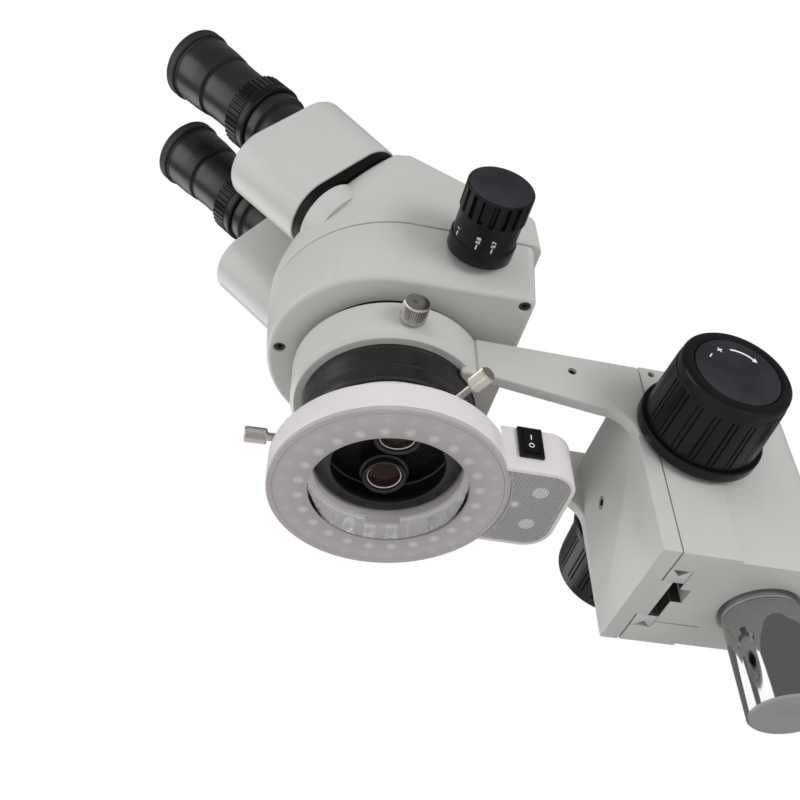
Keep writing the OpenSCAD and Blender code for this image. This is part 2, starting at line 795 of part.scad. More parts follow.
// Rhomboid prism: shifts the light path from the pivot to the eyepiece axis
module rhomboid_prism(side) {
    lean = atan2(side * (eye_half - pivot_x), prism_shift);
    translate([side * pivot_x, pivot_u, 0]) rotate(-lean) translate([-prism_w / 2, 0, 0])
        rotate([90, 0, 90]) linear_extrude(prism_w)
            polygon([[-prism_w / 2, 8], [prism_shift - prism_w / 2, 8],
                     [prism_shift + prism_w / 2, 8 + prism_w], [prism_w / 2, 8 + prism_w]]);
}

module eyetube() {
    tube(eyetube_r, eyepiece_r + 0.02, prism_h - 5, 88);
    tube(18.3, eyetube_r - eps, 69, 75);
}

module dioptre_ring() {
    difference() {
        rotate_extrude() polygon([
            [eyetube_r + clear, 75.1], [dioptre_r - 0.5, 75.1], [dioptre_r, 75.6], [dioptre_r, 88.5],
            [17, 91], [eyetube_r + clear, 91]]);
        grip_cuts(24, dioptre_r, 77, 92, 1.2, 0.8);
    }
}

module eyepiece() {
    rotate_extrude() polygon([
        [eyepiece_r - 2, 60], [eyepiece_r, 60], [eyepiece_r, 88.1], [eyetube_r - 0.05, 88.1],
        [eyetube_r - 0.05, 91.2], [16.6, 91.2], [16.6, 110], [15.8, 110.5], [15.8, 112.5], [17.7, 113],
        [18.4, 120], [18.4, 130], [17.9, 130.5], [17.9, 131.5], [18.4, 132], [18.4, 133], [16.5, 133],
        [16.5, 137], [eyepiece_r - 2, 137]]);
}

module eyepiece_lenses() {
    rod(eyepiece_r - 2, 64, 68);
    rod(eyepiece_r - 2, 131, 135);
}

module eyecup() {
    rotate_extrude() polygon([
        [16.5, 133.05], [19.2, 133.05], [19.6, 133.6], [19.6, 138.2], [18.8, 139], [16, 139], [14.5, 138],
        [14.5, 137.05], [16.5, 137.05]]);
}

module pivot_flange_left() color([0.1, 0.1, 0.1]) at_face() pivot_flange(-1);
module pivot_flange_right() color([0.1, 0.1, 0.1]) at_face() pivot_flange(1);
module prism_housing_left() color([0.75, 0.75, 0.72]) at_face() prism_housing(-1);
module prism_housing_right() color([0.75, 0.75, 0.72]) at_face() prism_housing(1);
module rhomboid_prism_left() color([0.7, 0.8, 0.85]) at_face() rhomboid_prism(-1);
module rhomboid_prism_right() color([0.7, 0.8, 0.85]) at_face() rhomboid_prism(1);
module eyetube_left() color([0.12, 0.12, 0.12]) at_eye(-1) eyetube();
module eyetube_right() color([0.12, 0.12, 0.12]) at_eye(1) eyetube();
module dioptre_ring_left() color([0.1, 0.1, 0.1]) at_eye(-1) dioptre_ring();
module dioptre_ring_right() color([0.1, 0.1, 0.1]) at_eye(1) dioptre_ring();
module eyepiece_left() color([0.12, 0.12, 0.12]) at_eye(-1) eyepiece();
module eyepiece_right() color([0.12, 0.12, 0.12]) at_eye(1) eyepiece();
module eyepiece_lenses_left() color([0.6, 0.65, 0.75]) at_eye(-1) eyepiece_lenses();
module eyepiece_lenses_right() color([0.6, 0.65, 0.75]) at_eye(1) eyepiece_lenses();
module eyecup_left() color([0.08, 0.08, 0.08]) at_eye(-1) eyecup();
module eyecup_right() color([0.08, 0.08, 0.08]) at_eye(1) eyecup();

// ---------------------------------------------------------------- ring light

module box_outline(inset) {
    round_rect(box_x0 + inset, box_y0 + inset, box_x1 - inset, box_y1 - inset, box_corner - inset);
}

module light_housing() color([0.93, 0.91, 0.91]) {
    at_head() difference() {
        union() {
            // ring with its mounting collar
            rod(light_r, -light_front + 1.6, light_top);
            rod(light_collar_r, light_top - 1, light_collar_top);
            // box for the switch and the driver
            translate([0, 0, -light_front]) linear_extrude(box_top + light_front) difference() {
                box_outline(0);
                circle(light_r - 1);
            }
        }
        rod(light_bore_r, -60, 0);
        // step that the front cover sits in
        rod(light_r + clear, -60, -light_front + 1.55);
        // room for the diodes, open to the front
        difference() {
            rod(light_r - 1.6, -60, light_top - 2);
            rod(light_bore_r + 1.6, -61, 0);
        }
        // room in the box
        translate([0, 0, -light_front - 1]) linear_extrude(box_top + light_front - 1) difference() {
            box_outline(box_wall);
            circle(light_r - 1);
        }
        for (a = light_screw_angles) rotate(a) translate([28, 0, light_screw_z]) rotate([0, 90, 0])
            cylinder(r = light_screw_r + clear, h = 14);
        translate([box_x1 - 4, switch_y - switch_w / 2 + 1, switch_z - switch_h / 2 + 1])
            cube([8, switch_w - 2, switch_h - 2]);
        translate([2, box_y1 - 4, inlet_z]) rotate([-90, 0, 0]) cylinder(r = inlet_r, h = 8);
    }
}

module light_cover() color([0.85, 0.82, 0.83]) {
    at_head() {
        tube(light_r, light_bore_r + 1.7, -light_front, -light_front + 1.5);
        tube(light_bore_r + 2.7, light_bore_r + 1.7, -light_front + 1, board_z - 2);
    }
}

module led_board() color([0.1, 0.35, 0.2]) {
    at_head() tube(light_r - 1.8, light_bore_r + 1.8, board_z, board_z + 1.6);
}

module led_row(count, r) {
    for (i = [0 : count - 1]) rotate(i * 360 / count) translate([r, 0, board_z - led_len + led_r]) {
        cylinder(r = led_r, h = led_len - led_r, $fn = 24);
        sphere(led_r, $fn = 24);
    }
}

module led_ring() color([0.95, 0.95, 0.9]) {
    at_head() {
        led_row(led_count, led_row_r);
        led_row(outer_row_count, outer_row_r);
    }
}

module box_cover() color([0.85, 0.85, 0.85]) {
    at_head() translate([0, 0, -light_front]) linear_extrude(1.6) difference() {
        box_outline(box_wall + 0.05);
        circle(light_r + 0.1);
    }
}

module driver_board() color([0.1, 0.35, 0.2]) {
    at_head() translate([box_x0 + 4, light_r + 4, box_top - 7]) cube([34, 14, 1.6]);
}

module switch_frame() color([0.06, 0.06, 0.06]) {
    at_head() translate([box_x1, switch_y, switch_z]) difference() {
        union() {
            translate([0, -switch_w / 2, -switch_h / 2]) cube([1.6, switch_w, switch_h]);
            translate([-9, -switch_w / 2 + 1, -switch_h / 2 + 1]) cube([9.5, switch_w - 2, switch_h - 2]);
        }
        translate([-6, -switch_w / 2 + 1.8, -switch_h / 2 + 1.8])
            cube([8, switch_w - 3.6, switch_h - 3.6]);
    }
}

module switch_rocker() color([0.08, 0.08, 0.08]) {
    half = switch_h / 2 - 2.7;
    at_head() translate([box_x1 - 1.5, switch_y - switch_w / 2 + 1.9, switch_z])
        rotate([-90, 0, 0]) linear_extrude(switch_w - 3.8) rotate(-90)
            polygon([[-half, 0], [0, -1.5], [half, 0], [half, 4], [0, 3.3], [-half, 3]]);
}

module power_inlet() color([0.1, 0.1, 0.1]) {
    at_head() translate([2, box_y1 - 8, inlet_z]) rotate([-90, 0, 0]) difference() {
        union() {
            cylinder(r = inlet_r - 0.05, h = 8);
            translate([0, 0, 8.05]) cylinder(r = inlet_r + 1.2, h = 1.4);
            translate([0, 0, 7]) cylinder(r = inlet_r - 0.05, h = 2);
        }
        translate([0, 0, 1]) difference() {
            cylinder(r = 2.75, h = 12);
            cylinder(r = 1.05, h = 7);
        }
    }
}

module light_screw(angle) {
    at_head() rotate(angle) translate([0, 0, light_screw_z]) rotate([0, 90, 0]) difference() {
        union() {
            rod(light_screw_r, nose_r + 0.1, light_head_in + 1);
            rod(light_head_r, light_head_in, light_head_out);
        }
        grip_cuts(16, light_head_r, light_head_in + 0.8, light_head_out - 0.8, 0.5, 0.4);
    }
}

module light_screw_a() color("gainsboro") light_screw(light_screw_angles[0]);
module light_screw_b() color("gainsboro") light_screw(light_screw_angles[1]);
module light_screw_c() color("gainsboro") light_screw(light_screw_angles[2]);

// ---------------------------------------------------------------- assembly

support_post();
focus_housing();
slide_rails();
rail_set_screw();
pinion_bushes();
post_clamp_screw();
post_clamp_knob();
slide_bracket();
slide_strips();
focus_rack();
bracket_screws();
pinion_shaft();
focus_knob_left();
focus_knob_right();
knob_discs();
head_lock_screw();
lower_housing();
upper_cover();
neck_barrel();
objective_cells();
objective_lenses();
case_screws();
zoom_guide_rods();
prism_frame();
bend_prisms();
lens_carriage_lower();
carriage_lenses_lower();
lens_carriage_upper();
carriage_lenses_upper();
zoom_shaft();
zoom_knob_left();
zoom_knob_right();
pivot_flange_left();
prism_housing_left();
rhomboid_prism_left();
eyetube_left();
eyepiece_left();
eyepiece_lenses_left();
eyecup_left();
dioptre_ring_left();
pivot_flange_right();
prism_housing_right();
rhomboid_prism_right();
eyetube_right();
eyepiece_right();
eyepiece_lenses_right();
eyecup_right();
dioptre_ring_right();
light_housing();
light_cover();
led_board();
led_ring();
box_cover();
driver_board();
switch_frame();
switch_rocker();
power_inlet();
light_screw_a();
light_screw_b();
light_screw_c();
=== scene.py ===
"""Looks of the stereo zoom microscope head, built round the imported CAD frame.

Shapes are written in millimetres in the frames below and turned into metres when a mesh is made.
HEAD stands on the optical axis at the holder ring's underside; FACE lies on the slanted front face;
FOCUS, ZOOM and each eye_frame have their local Z along the knob's or the eyepiece's axis.
"""

import json
import math

import bmesh
import bpy
from mathutils import Matrix, Vector


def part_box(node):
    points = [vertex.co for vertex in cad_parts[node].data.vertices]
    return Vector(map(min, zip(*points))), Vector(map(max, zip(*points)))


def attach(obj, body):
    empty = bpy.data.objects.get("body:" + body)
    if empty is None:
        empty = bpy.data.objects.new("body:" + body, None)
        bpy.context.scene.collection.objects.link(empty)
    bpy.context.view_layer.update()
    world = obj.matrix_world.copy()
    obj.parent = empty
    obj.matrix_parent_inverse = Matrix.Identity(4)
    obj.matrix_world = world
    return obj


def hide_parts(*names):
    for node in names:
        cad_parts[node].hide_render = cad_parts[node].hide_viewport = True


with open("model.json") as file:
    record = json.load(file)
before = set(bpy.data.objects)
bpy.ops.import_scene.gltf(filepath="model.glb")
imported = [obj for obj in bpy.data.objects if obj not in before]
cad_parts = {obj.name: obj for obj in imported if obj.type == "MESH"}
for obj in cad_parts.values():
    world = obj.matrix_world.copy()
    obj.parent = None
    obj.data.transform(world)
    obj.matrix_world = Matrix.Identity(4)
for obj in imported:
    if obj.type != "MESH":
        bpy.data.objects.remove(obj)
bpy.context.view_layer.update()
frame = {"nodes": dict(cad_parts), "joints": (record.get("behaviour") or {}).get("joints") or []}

NODES = frame["nodes"]
JOINTS = {joint["name"]: joint for joint in frame["joints"]}
MM = 0.001
TURN = 2 * math.pi


# ---------------------------------------------------------------- frames

def joint_at(name):
    return Vector(JOINTS[name]["pos_m"])


def moved(x, y, z):
    """A shift in millimetres."""
    return Matrix.Translation(Vector((x, y, z)) * MM)


def turned(degrees, axis):
    return Matrix.Rotation(math.radians(degrees), 4, axis)


SWIVEL_Z = 10
LOCK_Z = 10.5
LIGHT_CLAMP_Z = -25
PIVOT_X = 31
PIVOT_U = 36
FACE_SLOPE = 45
EYE_HALF = 28
EYE_U = 66

WORLD = Matrix.Identity(4)
HEAD = Matrix.Translation(joint_at("head_swivel")) @ moved(0, 0, -SWIVEL_Z)
FACE = Matrix.Translation(joint_at("left_eye_swing")) @ turned(FACE_SLOPE, "X") @ moved(PIVOT_X, -PIVOT_U, 0)
FACE_DIST = ((FACE.translation - HEAD.translation) / MM).length
ALONG_X = turned(90, "Y")
FOCUS = Matrix.Translation(Vector((0, *joint_at("focus_knob_turn")[1:]))) @ ALONG_X
ZOOM = Matrix.Translation(Vector((0, *joint_at("zoom_turn")[1:]))) @ ALONG_X
MIRROR_Z = Matrix.Diagonal((1, 1, -1, 1))


def eye_frame(side):
    return FACE @ moved(side * EYE_HALF, EYE_U, 0)


def at_pivot(side, z=0):
    """The shift in FACE to the pivot of one eyepiece arm."""
    return moved(side * PIVOT_X, PIVOT_U, z)


def clamp_frame(letter):
    """Place in HEAD whose local Z runs out along one clamp screw of the ring light."""
    axis = Vector(JOINTS[f"light_clamp_{letter}_turn"]["axis"])
    angle = math.degrees(math.atan2(axis.y, axis.x))
    return turned(angle, "Z") @ moved(0, 0, LIGHT_CLAMP_Z) @ ALONG_X


# ---------------------------------------------------------------- mesh tools

EDGE_ANGLE = 30


def rounded(points, radius=0.3, steps=3):
    """Rounds the corners of a closed outline; a third value on a point is its own radius."""
    outline = []
    for i, point in enumerate(points):
        corner = Vector(point[:2])
        before = Vector(points[i - 1][:2]) - corner
        after = Vector(points[(i + 1) % len(points)][:2]) - corner
        size = point[2] if len(point) > 2 else radius
        angle = before.angle(after)
        if size <= 0 or angle > math.radians(178):
            outline.append(corner)
            continue
        cut = min(size / math.tan(angle / 2), 0.48 * before.length, 0.48 * after.length)
        size = cut * math.tan(angle / 2)
        start = before.normalized() * cut
        end = after.normalized() * cut
        centre = (start + end).normalized() * (size / math.sin(angle / 2))
        for step in range(steps + 1):
            t = step / steps
            spoke = (start - centre) * (1 - t) + (end - centre) * t
            outline.append(corner + centre + spoke.normalized() * size)
    return outline


def revolve(points, steps=96, shape=None):
    """Turns a closed (radius, height) outline about the local Z axis."""
    bm = bmesh.new()
    rings = []
    for i in range(steps):
        a = TURN * i / steps
        ring = []
        for r, z in points:
            reach = shape(r, z, a) if shape else r
            ring.append(bm.verts.new((reach * math.cos(a), reach * math.sin(a), z)))
        rings.append(ring)
    count = len(points)
    for i in range(steps):
        here, following = rings[i], rings[(i + 1) % steps]
        for j in range(count):
            k = (j + 1) % count
            bm.faces.new((here[j], here[k], following[k], following[j]))
    bmesh.ops.remove_doubles(bm, verts=bm.verts, dist=1e-4)
    bmesh.ops.recalc_face_normals(bm, faces=bm.faces)
    return bm


def grooves(count, z0, z1, r_min, depth, centres, width):
    """Shape for revolve: grooves along the axis, each sector holding some at given places."""
    def shape(r, z, a):
        if r < r_min or z < z0 or z > z1:
            return r
        place = (a / TURN * count) % 1
        cut = 0
        for centre in centres:
            gap = abs(place - centre)
            cut = max(cut, 1 - (min(gap, 1 - gap) / width) ** 4)
        return r - depth * max(cut, 0)
    return shape


def arc_between(first, second, steps):
    """Directions from one unit vector to another."""
    return [((first * (1 - i / steps)) + second * (i / steps)).normalized() for i in range(steps + 1)]


def hull(points):
    """The convex solid around some points, with its flat sides as single faces."""
    bm = bmesh.new()
    verts = [bm.verts.new(point) for point in points]
    found = bmesh.ops.convex_hull(bm, input=verts, use_existing_faces=False)
    loose = {v for v in found["geom_interior"] + found["geom_unused"] if isinstance(v, bmesh.types.BMVert)}
    bmesh.ops.delete(bm, geom=[v for v in loose if v.is_valid], context="VERTS")
    bmesh.ops.delete(bm, geom=[v for v in bm.verts if not v.link_faces], context="VERTS")
    bmesh.ops.dissolve_limit(bm, angle_limit=math.radians(0.15), verts=bm.verts, edges=bm.edges)
    bmesh.ops.recalc_face_normals(bm, faces=bm.faces)
    return bm


def outline_at(circles, t, inset):
    """Point of an outline, the hull of circles (x, y, r), whose outward direction is the angle t."""
    n = Vector((math.cos(t), math.sin(t)))
    x, y, r = max(circles, key=lambda c: c[0] * n.x + c[1] * n.y + c[2])
    return Vector((x, y)) + n * (r - inset)


UP = Vector((0, 0, 1))
OUTLINE_STEPS = 128


def slab(low, high, z0, z1, r0, r1, inset=0, steps=5):
    """Hull of a low outline at z0 and a high one at z1, with rounded edges of radius r0 and r1."""
    points = []
    for i in range(OUTLINE_STEPS):
        t = TURN * i / OUTLINE_STEPS
        wall = Vector((math.cos(t), math.sin(t), 0))
        for circles, z, r, face in ((low, z0 + r0, r0, -UP), (high, z1 - r1, r1, UP)):
            flat = outline_at(circles, t, inset + r)
            centre = Vector((flat.x, flat.y, z))
            points += [centre + way * r for way in arc_between(wall, face, steps)]
    return hull(points)


def place_bm(bm, matrix):
    """Moves a local bmesh, still in millimetres, by a matrix in metres."""
    shift = matrix.copy()
    shift.translation = matrix.translation / MM
    bmesh.ops.transform(bm, matrix=shift, verts=bm.verts)
    if matrix.determinant() < 0:
        bmesh.ops.reverse_faces(bm, faces=bm.faces)
    return bm


def joined(parts):
    """One bmesh out of several."""
    whole = bmesh.new()
    for part in parts:
        mesh = bpy.data.meshes.new("part")
        part.to_mesh(mesh)
        part.free()
        whole.from_mesh(mesh)
        bpy.data.meshes.remove(mesh)
    return whole


def as_object(name, bm, place=WORLD):
    """An object in metres from a bmesh in the millimetres of a frame."""
    bmesh.ops.scale(bm, vec=(MM, MM, MM), verts=bm.verts)
    mesh = bpy.data.meshes.new(name)
    bm.to_mesh(mesh)
    bm.free()
    obj = bpy.data.objects.new(name, mesh)
    bpy.context.scene.collection.objects.link(obj)
    obj.matrix_world = place
    return obj


def baked(obj):
    """Applies an object's modifiers to its mesh."""
    graph = bpy.context.evaluated_depsgraph_get()
    mesh = bpy.data.meshes.new_from_object(obj.evaluated_get(graph))
    old = obj.data
    obj.modifiers.clear()
    obj.data = mesh
    bpy.data.meshes.remove(old)


def combine(obj, bm, operation="DIFFERENCE"):
    """Cuts a bmesh from an object, or adds it, in the object's own frame."""
    other = as_object("tool", bm, obj.matrix_world)
    bpy.context.view_layer.update()
    step = obj.modifiers.new("combine", "BOOLEAN")
    step.object = other
    step.operation = operation
    step.solver = "EXACT"
    baked(obj)
    mesh = other.data
    bpy.data.objects.remove(other)
    bpy.data.meshes.remove(mesh)


def taken(obj):
    """The mesh of a helper object, in millimetres again; the object goes."""
    bm = bmesh.new()
    bm.from_mesh(obj.data)
    bmesh.ops.scale(bm, vec=(1 / MM,) * 3, verts=bm.verts)
    bpy.data.objects.remove(obj)
    return bm


def cylinder(r, z0, z1, steps=64):
    return revolve([(0, z0), (r, z0), (r, z1), (0, z1)], steps)


def round_edges(bm, edges, width, clamp=False):
    bmesh.ops.bevel(bm, geom=edges, offset=width, segments=3, profile=0.5, affect="EDGES",
                    clamp_overlap=clamp)


def brick(x0, y0, z0, x1, y1, z1, edge=0.0):
    """Box from corner to corner, with its edges rounded."""
    bm = bmesh.new()
    bmesh.ops.create_cube(bm, size=1)
    bmesh.ops.scale(bm, vec=(x1 - x0, y1 - y0, z1 - z0), verts=bm.verts)
    bmesh.ops.translate(bm, vec=((x0 + x1) / 2, (y0 + y1) / 2, (z0 + z1) / 2), verts=bm.verts)
    if edge:
        round_edges(bm, bm.edges[:], edge)
    return bm


def prism(low, high):
    """Solid between two matching closed outlines."""
    bm = bmesh.new()
    near = [bm.verts.new(point) for point in low]
    far = [bm.verts.new(point) for point in high]
    bm.faces.new(near)
    bm.faces.new(far)
    for i in range(len(near)):
        k = (i + 1) % len(near)
        bm.faces.new((near[i], near[k], far[k], far[i]))
    bmesh.ops.recalc_face_normals(bm, faces=bm.faces)
    return bm


def plank(outline, x0, x1, edge):
    """Prism along X from a (y, z) outline, with its sharp edges rounded."""
    bm = prism([(x0, y, z) for y, z in outline], [(x1, y, z) for y, z in outline])
    round_edges(bm, [e for e in bm.edges if e.calc_face_angle(0) > math.radians(EDGE_ANGLE)], edge)
    return bm


def tile(outline, z0, z1):
    """Flat piece along Z from an (x, y) outline."""
    return prism([(x, y, z0) for x, y in outline], [(x, y, z1) for x, y in outline])


def piece(obj, body, slot, nodes=(), look=None, smooth=35):
    """Lets an object ride on a body and hides the CAD nodes that it stands for.

    Its finish has the name of its slot, unless it has a look of its own.
    """
    mesh = obj.data
    mesh.shade_smooth()
    mesh.set_sharp_from_angle(angle=math.radians(smooth))
    mesh.materials.clear()
    mesh.materials.append(FINISHES[look or slot])
    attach(obj, body)
    if nodes:
        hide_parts(*nodes)


def softened(node, width, sharp=EDGE_ANGLE, shortest=0.7):
    """A copy of a CAD node with its edges rounded, except round the small holes."""
    bm = bmesh.new()
    bm.from_mesh(NODES[node].data)
    bmesh.ops.scale(bm, vec=(1 / MM,) * 3, verts=bm.verts)
    bmesh.ops.remove_doubles(bm, verts=bm.verts, dist=0.002)
    bmesh.ops.dissolve_limit(bm, angle_limit=math.radians(1), verts=bm.verts, edges=bm.edges)
    edges = [e for e in bm.edges if len(e.link_faces) == 2 and e.calc_length() > shortest
             and e.calc_face_angle(0) > math.radians(sharp)]
    round_edges(bm, edges, width, clamp=True)
    bmesh.ops.recalc_face_normals(bm, faces=bm.faces)
    return bm


# ---------------------------------------------------------------- materials

FINISHES = {}


def finish(name, colour, rough, metal=0.0, vary=0.05, grain=1800, bump=0.15, depth=0.00006, patch=60,
           rough_vary=0.08, rings=0, ring_bump=0.0, coat=0.0, clear=0.0, ior=1.5, gloss=0.5, glow=0.0):
    """A material, found again by its name: colour patches, uneven roughness, grain and turned marks."""
    material = bpy.data.materials.new(name)
    material.use_nodes = True
    tree = material.node_tree
    shader = tree.nodes["Principled BSDF"]

    def node(kind, **values):
        made = tree.nodes.new(kind)
        for key, value in values.items():
            if key in made.inputs:
                made.inputs[key].default_value = value
            else:
                setattr(made, key, value)
        return made

    def link(a, output, b, socket):
        tree.links.new(a.outputs[output], b.inputs[socket])

    place = node("ShaderNodeTexCoord")
    patches = node("ShaderNodeTexNoise", Scale=patch, Detail=3.0)
    fine = node("ShaderNodeTexNoise", Scale=grain, Detail=2.0)
    link(place, "Object", patches, "Vector")
    link(place, "Object", fine, "Vector")
    ramp = node("ShaderNodeValToRGB")
    low, high = ramp.color_ramp.elements
    low.position, high.position = 0.3, 0.7
    low.color = (*[c * (1 - vary) for c in colour], 1)
    high.color = (*[min(c * (1 + vary), 1) for c in colour], 1)
    mixed = node("ShaderNodeMath", operation="ADD")
    link(patches, "Fac", mixed, 0)
    link(fine, "Fac", mixed, 1)
    half = node("ShaderNodeMath", operation="MULTIPLY")
    link(mixed, 0, half, 0)
    half.inputs[1].default_value = 0.5
    link(half, 0, ramp, "Fac")
    link(ramp, "Color", shader, "Base Color")
    spread = node("ShaderNodeMapRange")
    spread.inputs["To Min"].default_value = max(rough - rough_vary, 0.02)
    spread.inputs["To Max"].default_value = min(rough + rough_vary, 1)
    link(half, 0, spread, "Value")
    link(spread, "Result", shader, "Roughness")
    relief = node("ShaderNodeBump", Strength=bump, Distance=depth)
    link(fine, "Fac", relief, "Height")
    if rings:
        lines = node("ShaderNodeTexWave", Scale=rings, Distortion=0.4, Detail=2.0)
        lines.bands_direction = "Z"
        link(place, "Object", lines, "Vector")
        marks = node("ShaderNodeBump", Strength=ring_bump, Distance=depth)
        link(lines, "Fac", marks, "Height")
        link(relief, "Normal", marks, "Normal")
        relief = marks
    link(relief, "Normal", shader, "Normal")
    values = {"Metallic": metal, "IOR": ior, "Coat Weight": coat, "Coat Roughness": 0.2,
              "Transmission Weight": clear, "Specular IOR Level": gloss,
              "Emission Color": (1, 1, 1, 1), "Emission Strength": glow}
    for socket, value in values.items():
        shader.inputs[socket].default_value = value
    FINISHES[name] = material
    return material


finish("body_paint", (0.53, 0.53, 0.505), 0.42, vary=0.025, grain=2600, bump=0.35, depth=0.00005,
       patch=25, coat=0.15)
finish("black_paint", (0.015, 0.015, 0.015), 0.28, grain=3000, bump=0.2, rings=900, ring_bump=0.25)
finish("matt_black", (0.004, 0.004, 0.004), 0.5, grain=3000, bump=0.2, gloss=0.2)
finish("black_plastic", (0.0055, 0.0055, 0.006), 0.3, vary=0.2, grain=3500, bump=0.3, gloss=0.25)
finish("disc_film", (0.027, 0.026, 0.033), 0.6, vary=0.6, grain=5000, bump=0.6, gloss=0.25)
finish("white_plastic", (0.72, 0.68, 0.685), 0.32, vary=0.015, grain=1500, bump=0.08, coat=0.1)
finish("frosted_plastic", (0.62, 0.57, 0.575), 0.3, vary=0.04, grain=2500, bump=0.25, patch=120)
finish("clear_plastic", (0.97, 0.97, 0.97), 0.06, vary=0.01, grain=600, bump=0.03, rough_vary=0.02,
       clear=1.0, ior=1.49)
finish("steel", (0.6, 0.6, 0.6), 0.25, metal=1.0, grain=2500, bump=0.15, rings=1400, ring_bump=0.15)
finish("nickel", (0.62, 0.59, 0.54), 0.22, metal=1.0, vary=0.1, grain=2500, bump=0.1)
finish("chrome", (0.42, 0.42, 0.43), 0.07, metal=1.0, vary=0.03, grain=900, bump=0.03, rough_vary=0.03)
finish("dark_steel", (0.06, 0.06, 0.06), 0.35, metal=0.9, vary=0.2)
finish("brass", (0.72, 0.5, 0.2), 0.28, metal=1.0, rings=1200, ring_bump=0.2)
finish("aluminium", (0.7, 0.7, 0.7), 0.35, metal=1.0, rings=1000, ring_bump=0.3)
finish("black_anodised", (0.02, 0.02, 0.021), 0.28, metal=0.2, vary=0.15, grain=3000,
       rings=1100, ring_bump=0.25)
finish("rubber", (0.016, 0.016, 0.016), 0.6, vary=0.15, grain=2000, bump=0.4)
finish("coated_glass", (0.02, 0.006, 0.004), 0.05, vary=0.3, bump=0.01, gloss=0.2, rough_vary=0.02)
finish("prism_glass", (0.9, 0.95, 0.97), 0.03, vary=0.01, bump=0.01, clear=1.0, ior=1.52, rough_vary=0.01)
# Painted glow: the circuit board and the diodes get a faint emission of their own, though they are not lit.
finish("circuit_board", (0.75, 0.74, 0.73), 0.4, vary=0.08, patch=300, glow=0.2)
finish("diode", (0.95, 0.95, 0.93), 0.08, vary=0.05, grain=400, clear=0.6, ior=1.45, rough_vary=0.03,
       glow=0.05)
finish("diode_glow", (0.62, 0.61, 0.61), 0.4, vary=0.03)
finish("prismatic_plastic", (0.36, 0.355, 0.355), 0.2, vary=0.05, bump=0.1, coat=0.3)
# Painted shade: the clear cover's small prisms are given a dark glossy colour to stand for the shade they
# show.
finish("prism_shade", (0.13, 0.13, 0.13), 0.3, vary=0.25, bump=0.1, gloss=0.8)
finish("marking", (0.85, 0.85, 0.85), 0.5, vary=0.03)


def finish_cad_nodes():
    """Every carried-over CAD node takes the finish with the name of its own material slot."""
    for obj in NODES.values():
        for slot in obj.material_slots:
            plain_name = slot.material.name.split(".")[0]
            slot.material = FINISHES.get(plain_name, FINISHES["steel"])


# ---------------------------------------------------------------- head shells

HEAD_BOTTOM = 26.5
SEAM = 57.8
HEAD_R = 57.2
HEAD_BACK = 55
OVERHANG = 3.4
HEAD_CORNER = 5
SHELL = 3
RIDGE_Y = -6
RIDGE_Z = 118.9
REAR_SLOPE = 30.7
RIDGE_ROUND = 5.5
COVER_TOP = 119
COVER_DRAFT = 1.4
NECK_HOLE_R = 30
COVER_SCREWS = ((0, -50), (47.6, 49.4), (-47.6, 49.4))
ZOOM_SHAFT_AT = (0, 27.2, 48.3)
PIVOT_HOLE_R = 14.3
BOSS_R = 15.7
BOSS_TOP = -1.8
GAP = 0.05
FRONT_NORMAL = Vector((0, -1, 1)).normalized()
REAR_NORMAL = Vector((0, math.sin(math.radians(REAR_SLOPE)), math.cos(math.radians(REAR_SLOPE))))


def head_circles(r, centre_y, half_w, back):
    """Outline of the head: a round front and a square back with rounded corners."""
    corner_y = back - HEAD_CORNER
    return [(0, centre_y, r), (half_w - HEAD_CORNER, corner_y, HEAD_CORNER),
            (HEAD_CORNER - half_w, corner_y, HEAD_CORNER)]


def lower_shell(inset):
    low = head_circles(51, -4.5, 53, HEAD_BACK - 0.8)
    high = head_circles(HEAD_R, 0, HEAD_R + 0.1, HEAD_BACK)
    if inset:
        return slab(low, high, HEAD_BOTTOM + inset + 0.5, SEAM + 5, 0.5, 0.2, inset)
    return slab(low, high, HEAD_BOTTOM, SEAM, 2.5, 0.5)


def face_height(inset):
    """Height at which the slanted face, moved inwards, crosses the optical axis."""
    return (FACE_DIST - inset) * math.sqrt(2)


def cover_height(y, inset):
    """Height of the slanted face or of the sloping back above the point y, and which of them it is."""
    front = y + face_height(inset)
    rear = RIDGE_Z + (-inset - REAR_NORMAL.y * (y - RIDGE_Y)) / REAR_NORMAL.z
    return (front, FRONT_NORMAL) if front < rear else (rear, REAR_NORMAL)


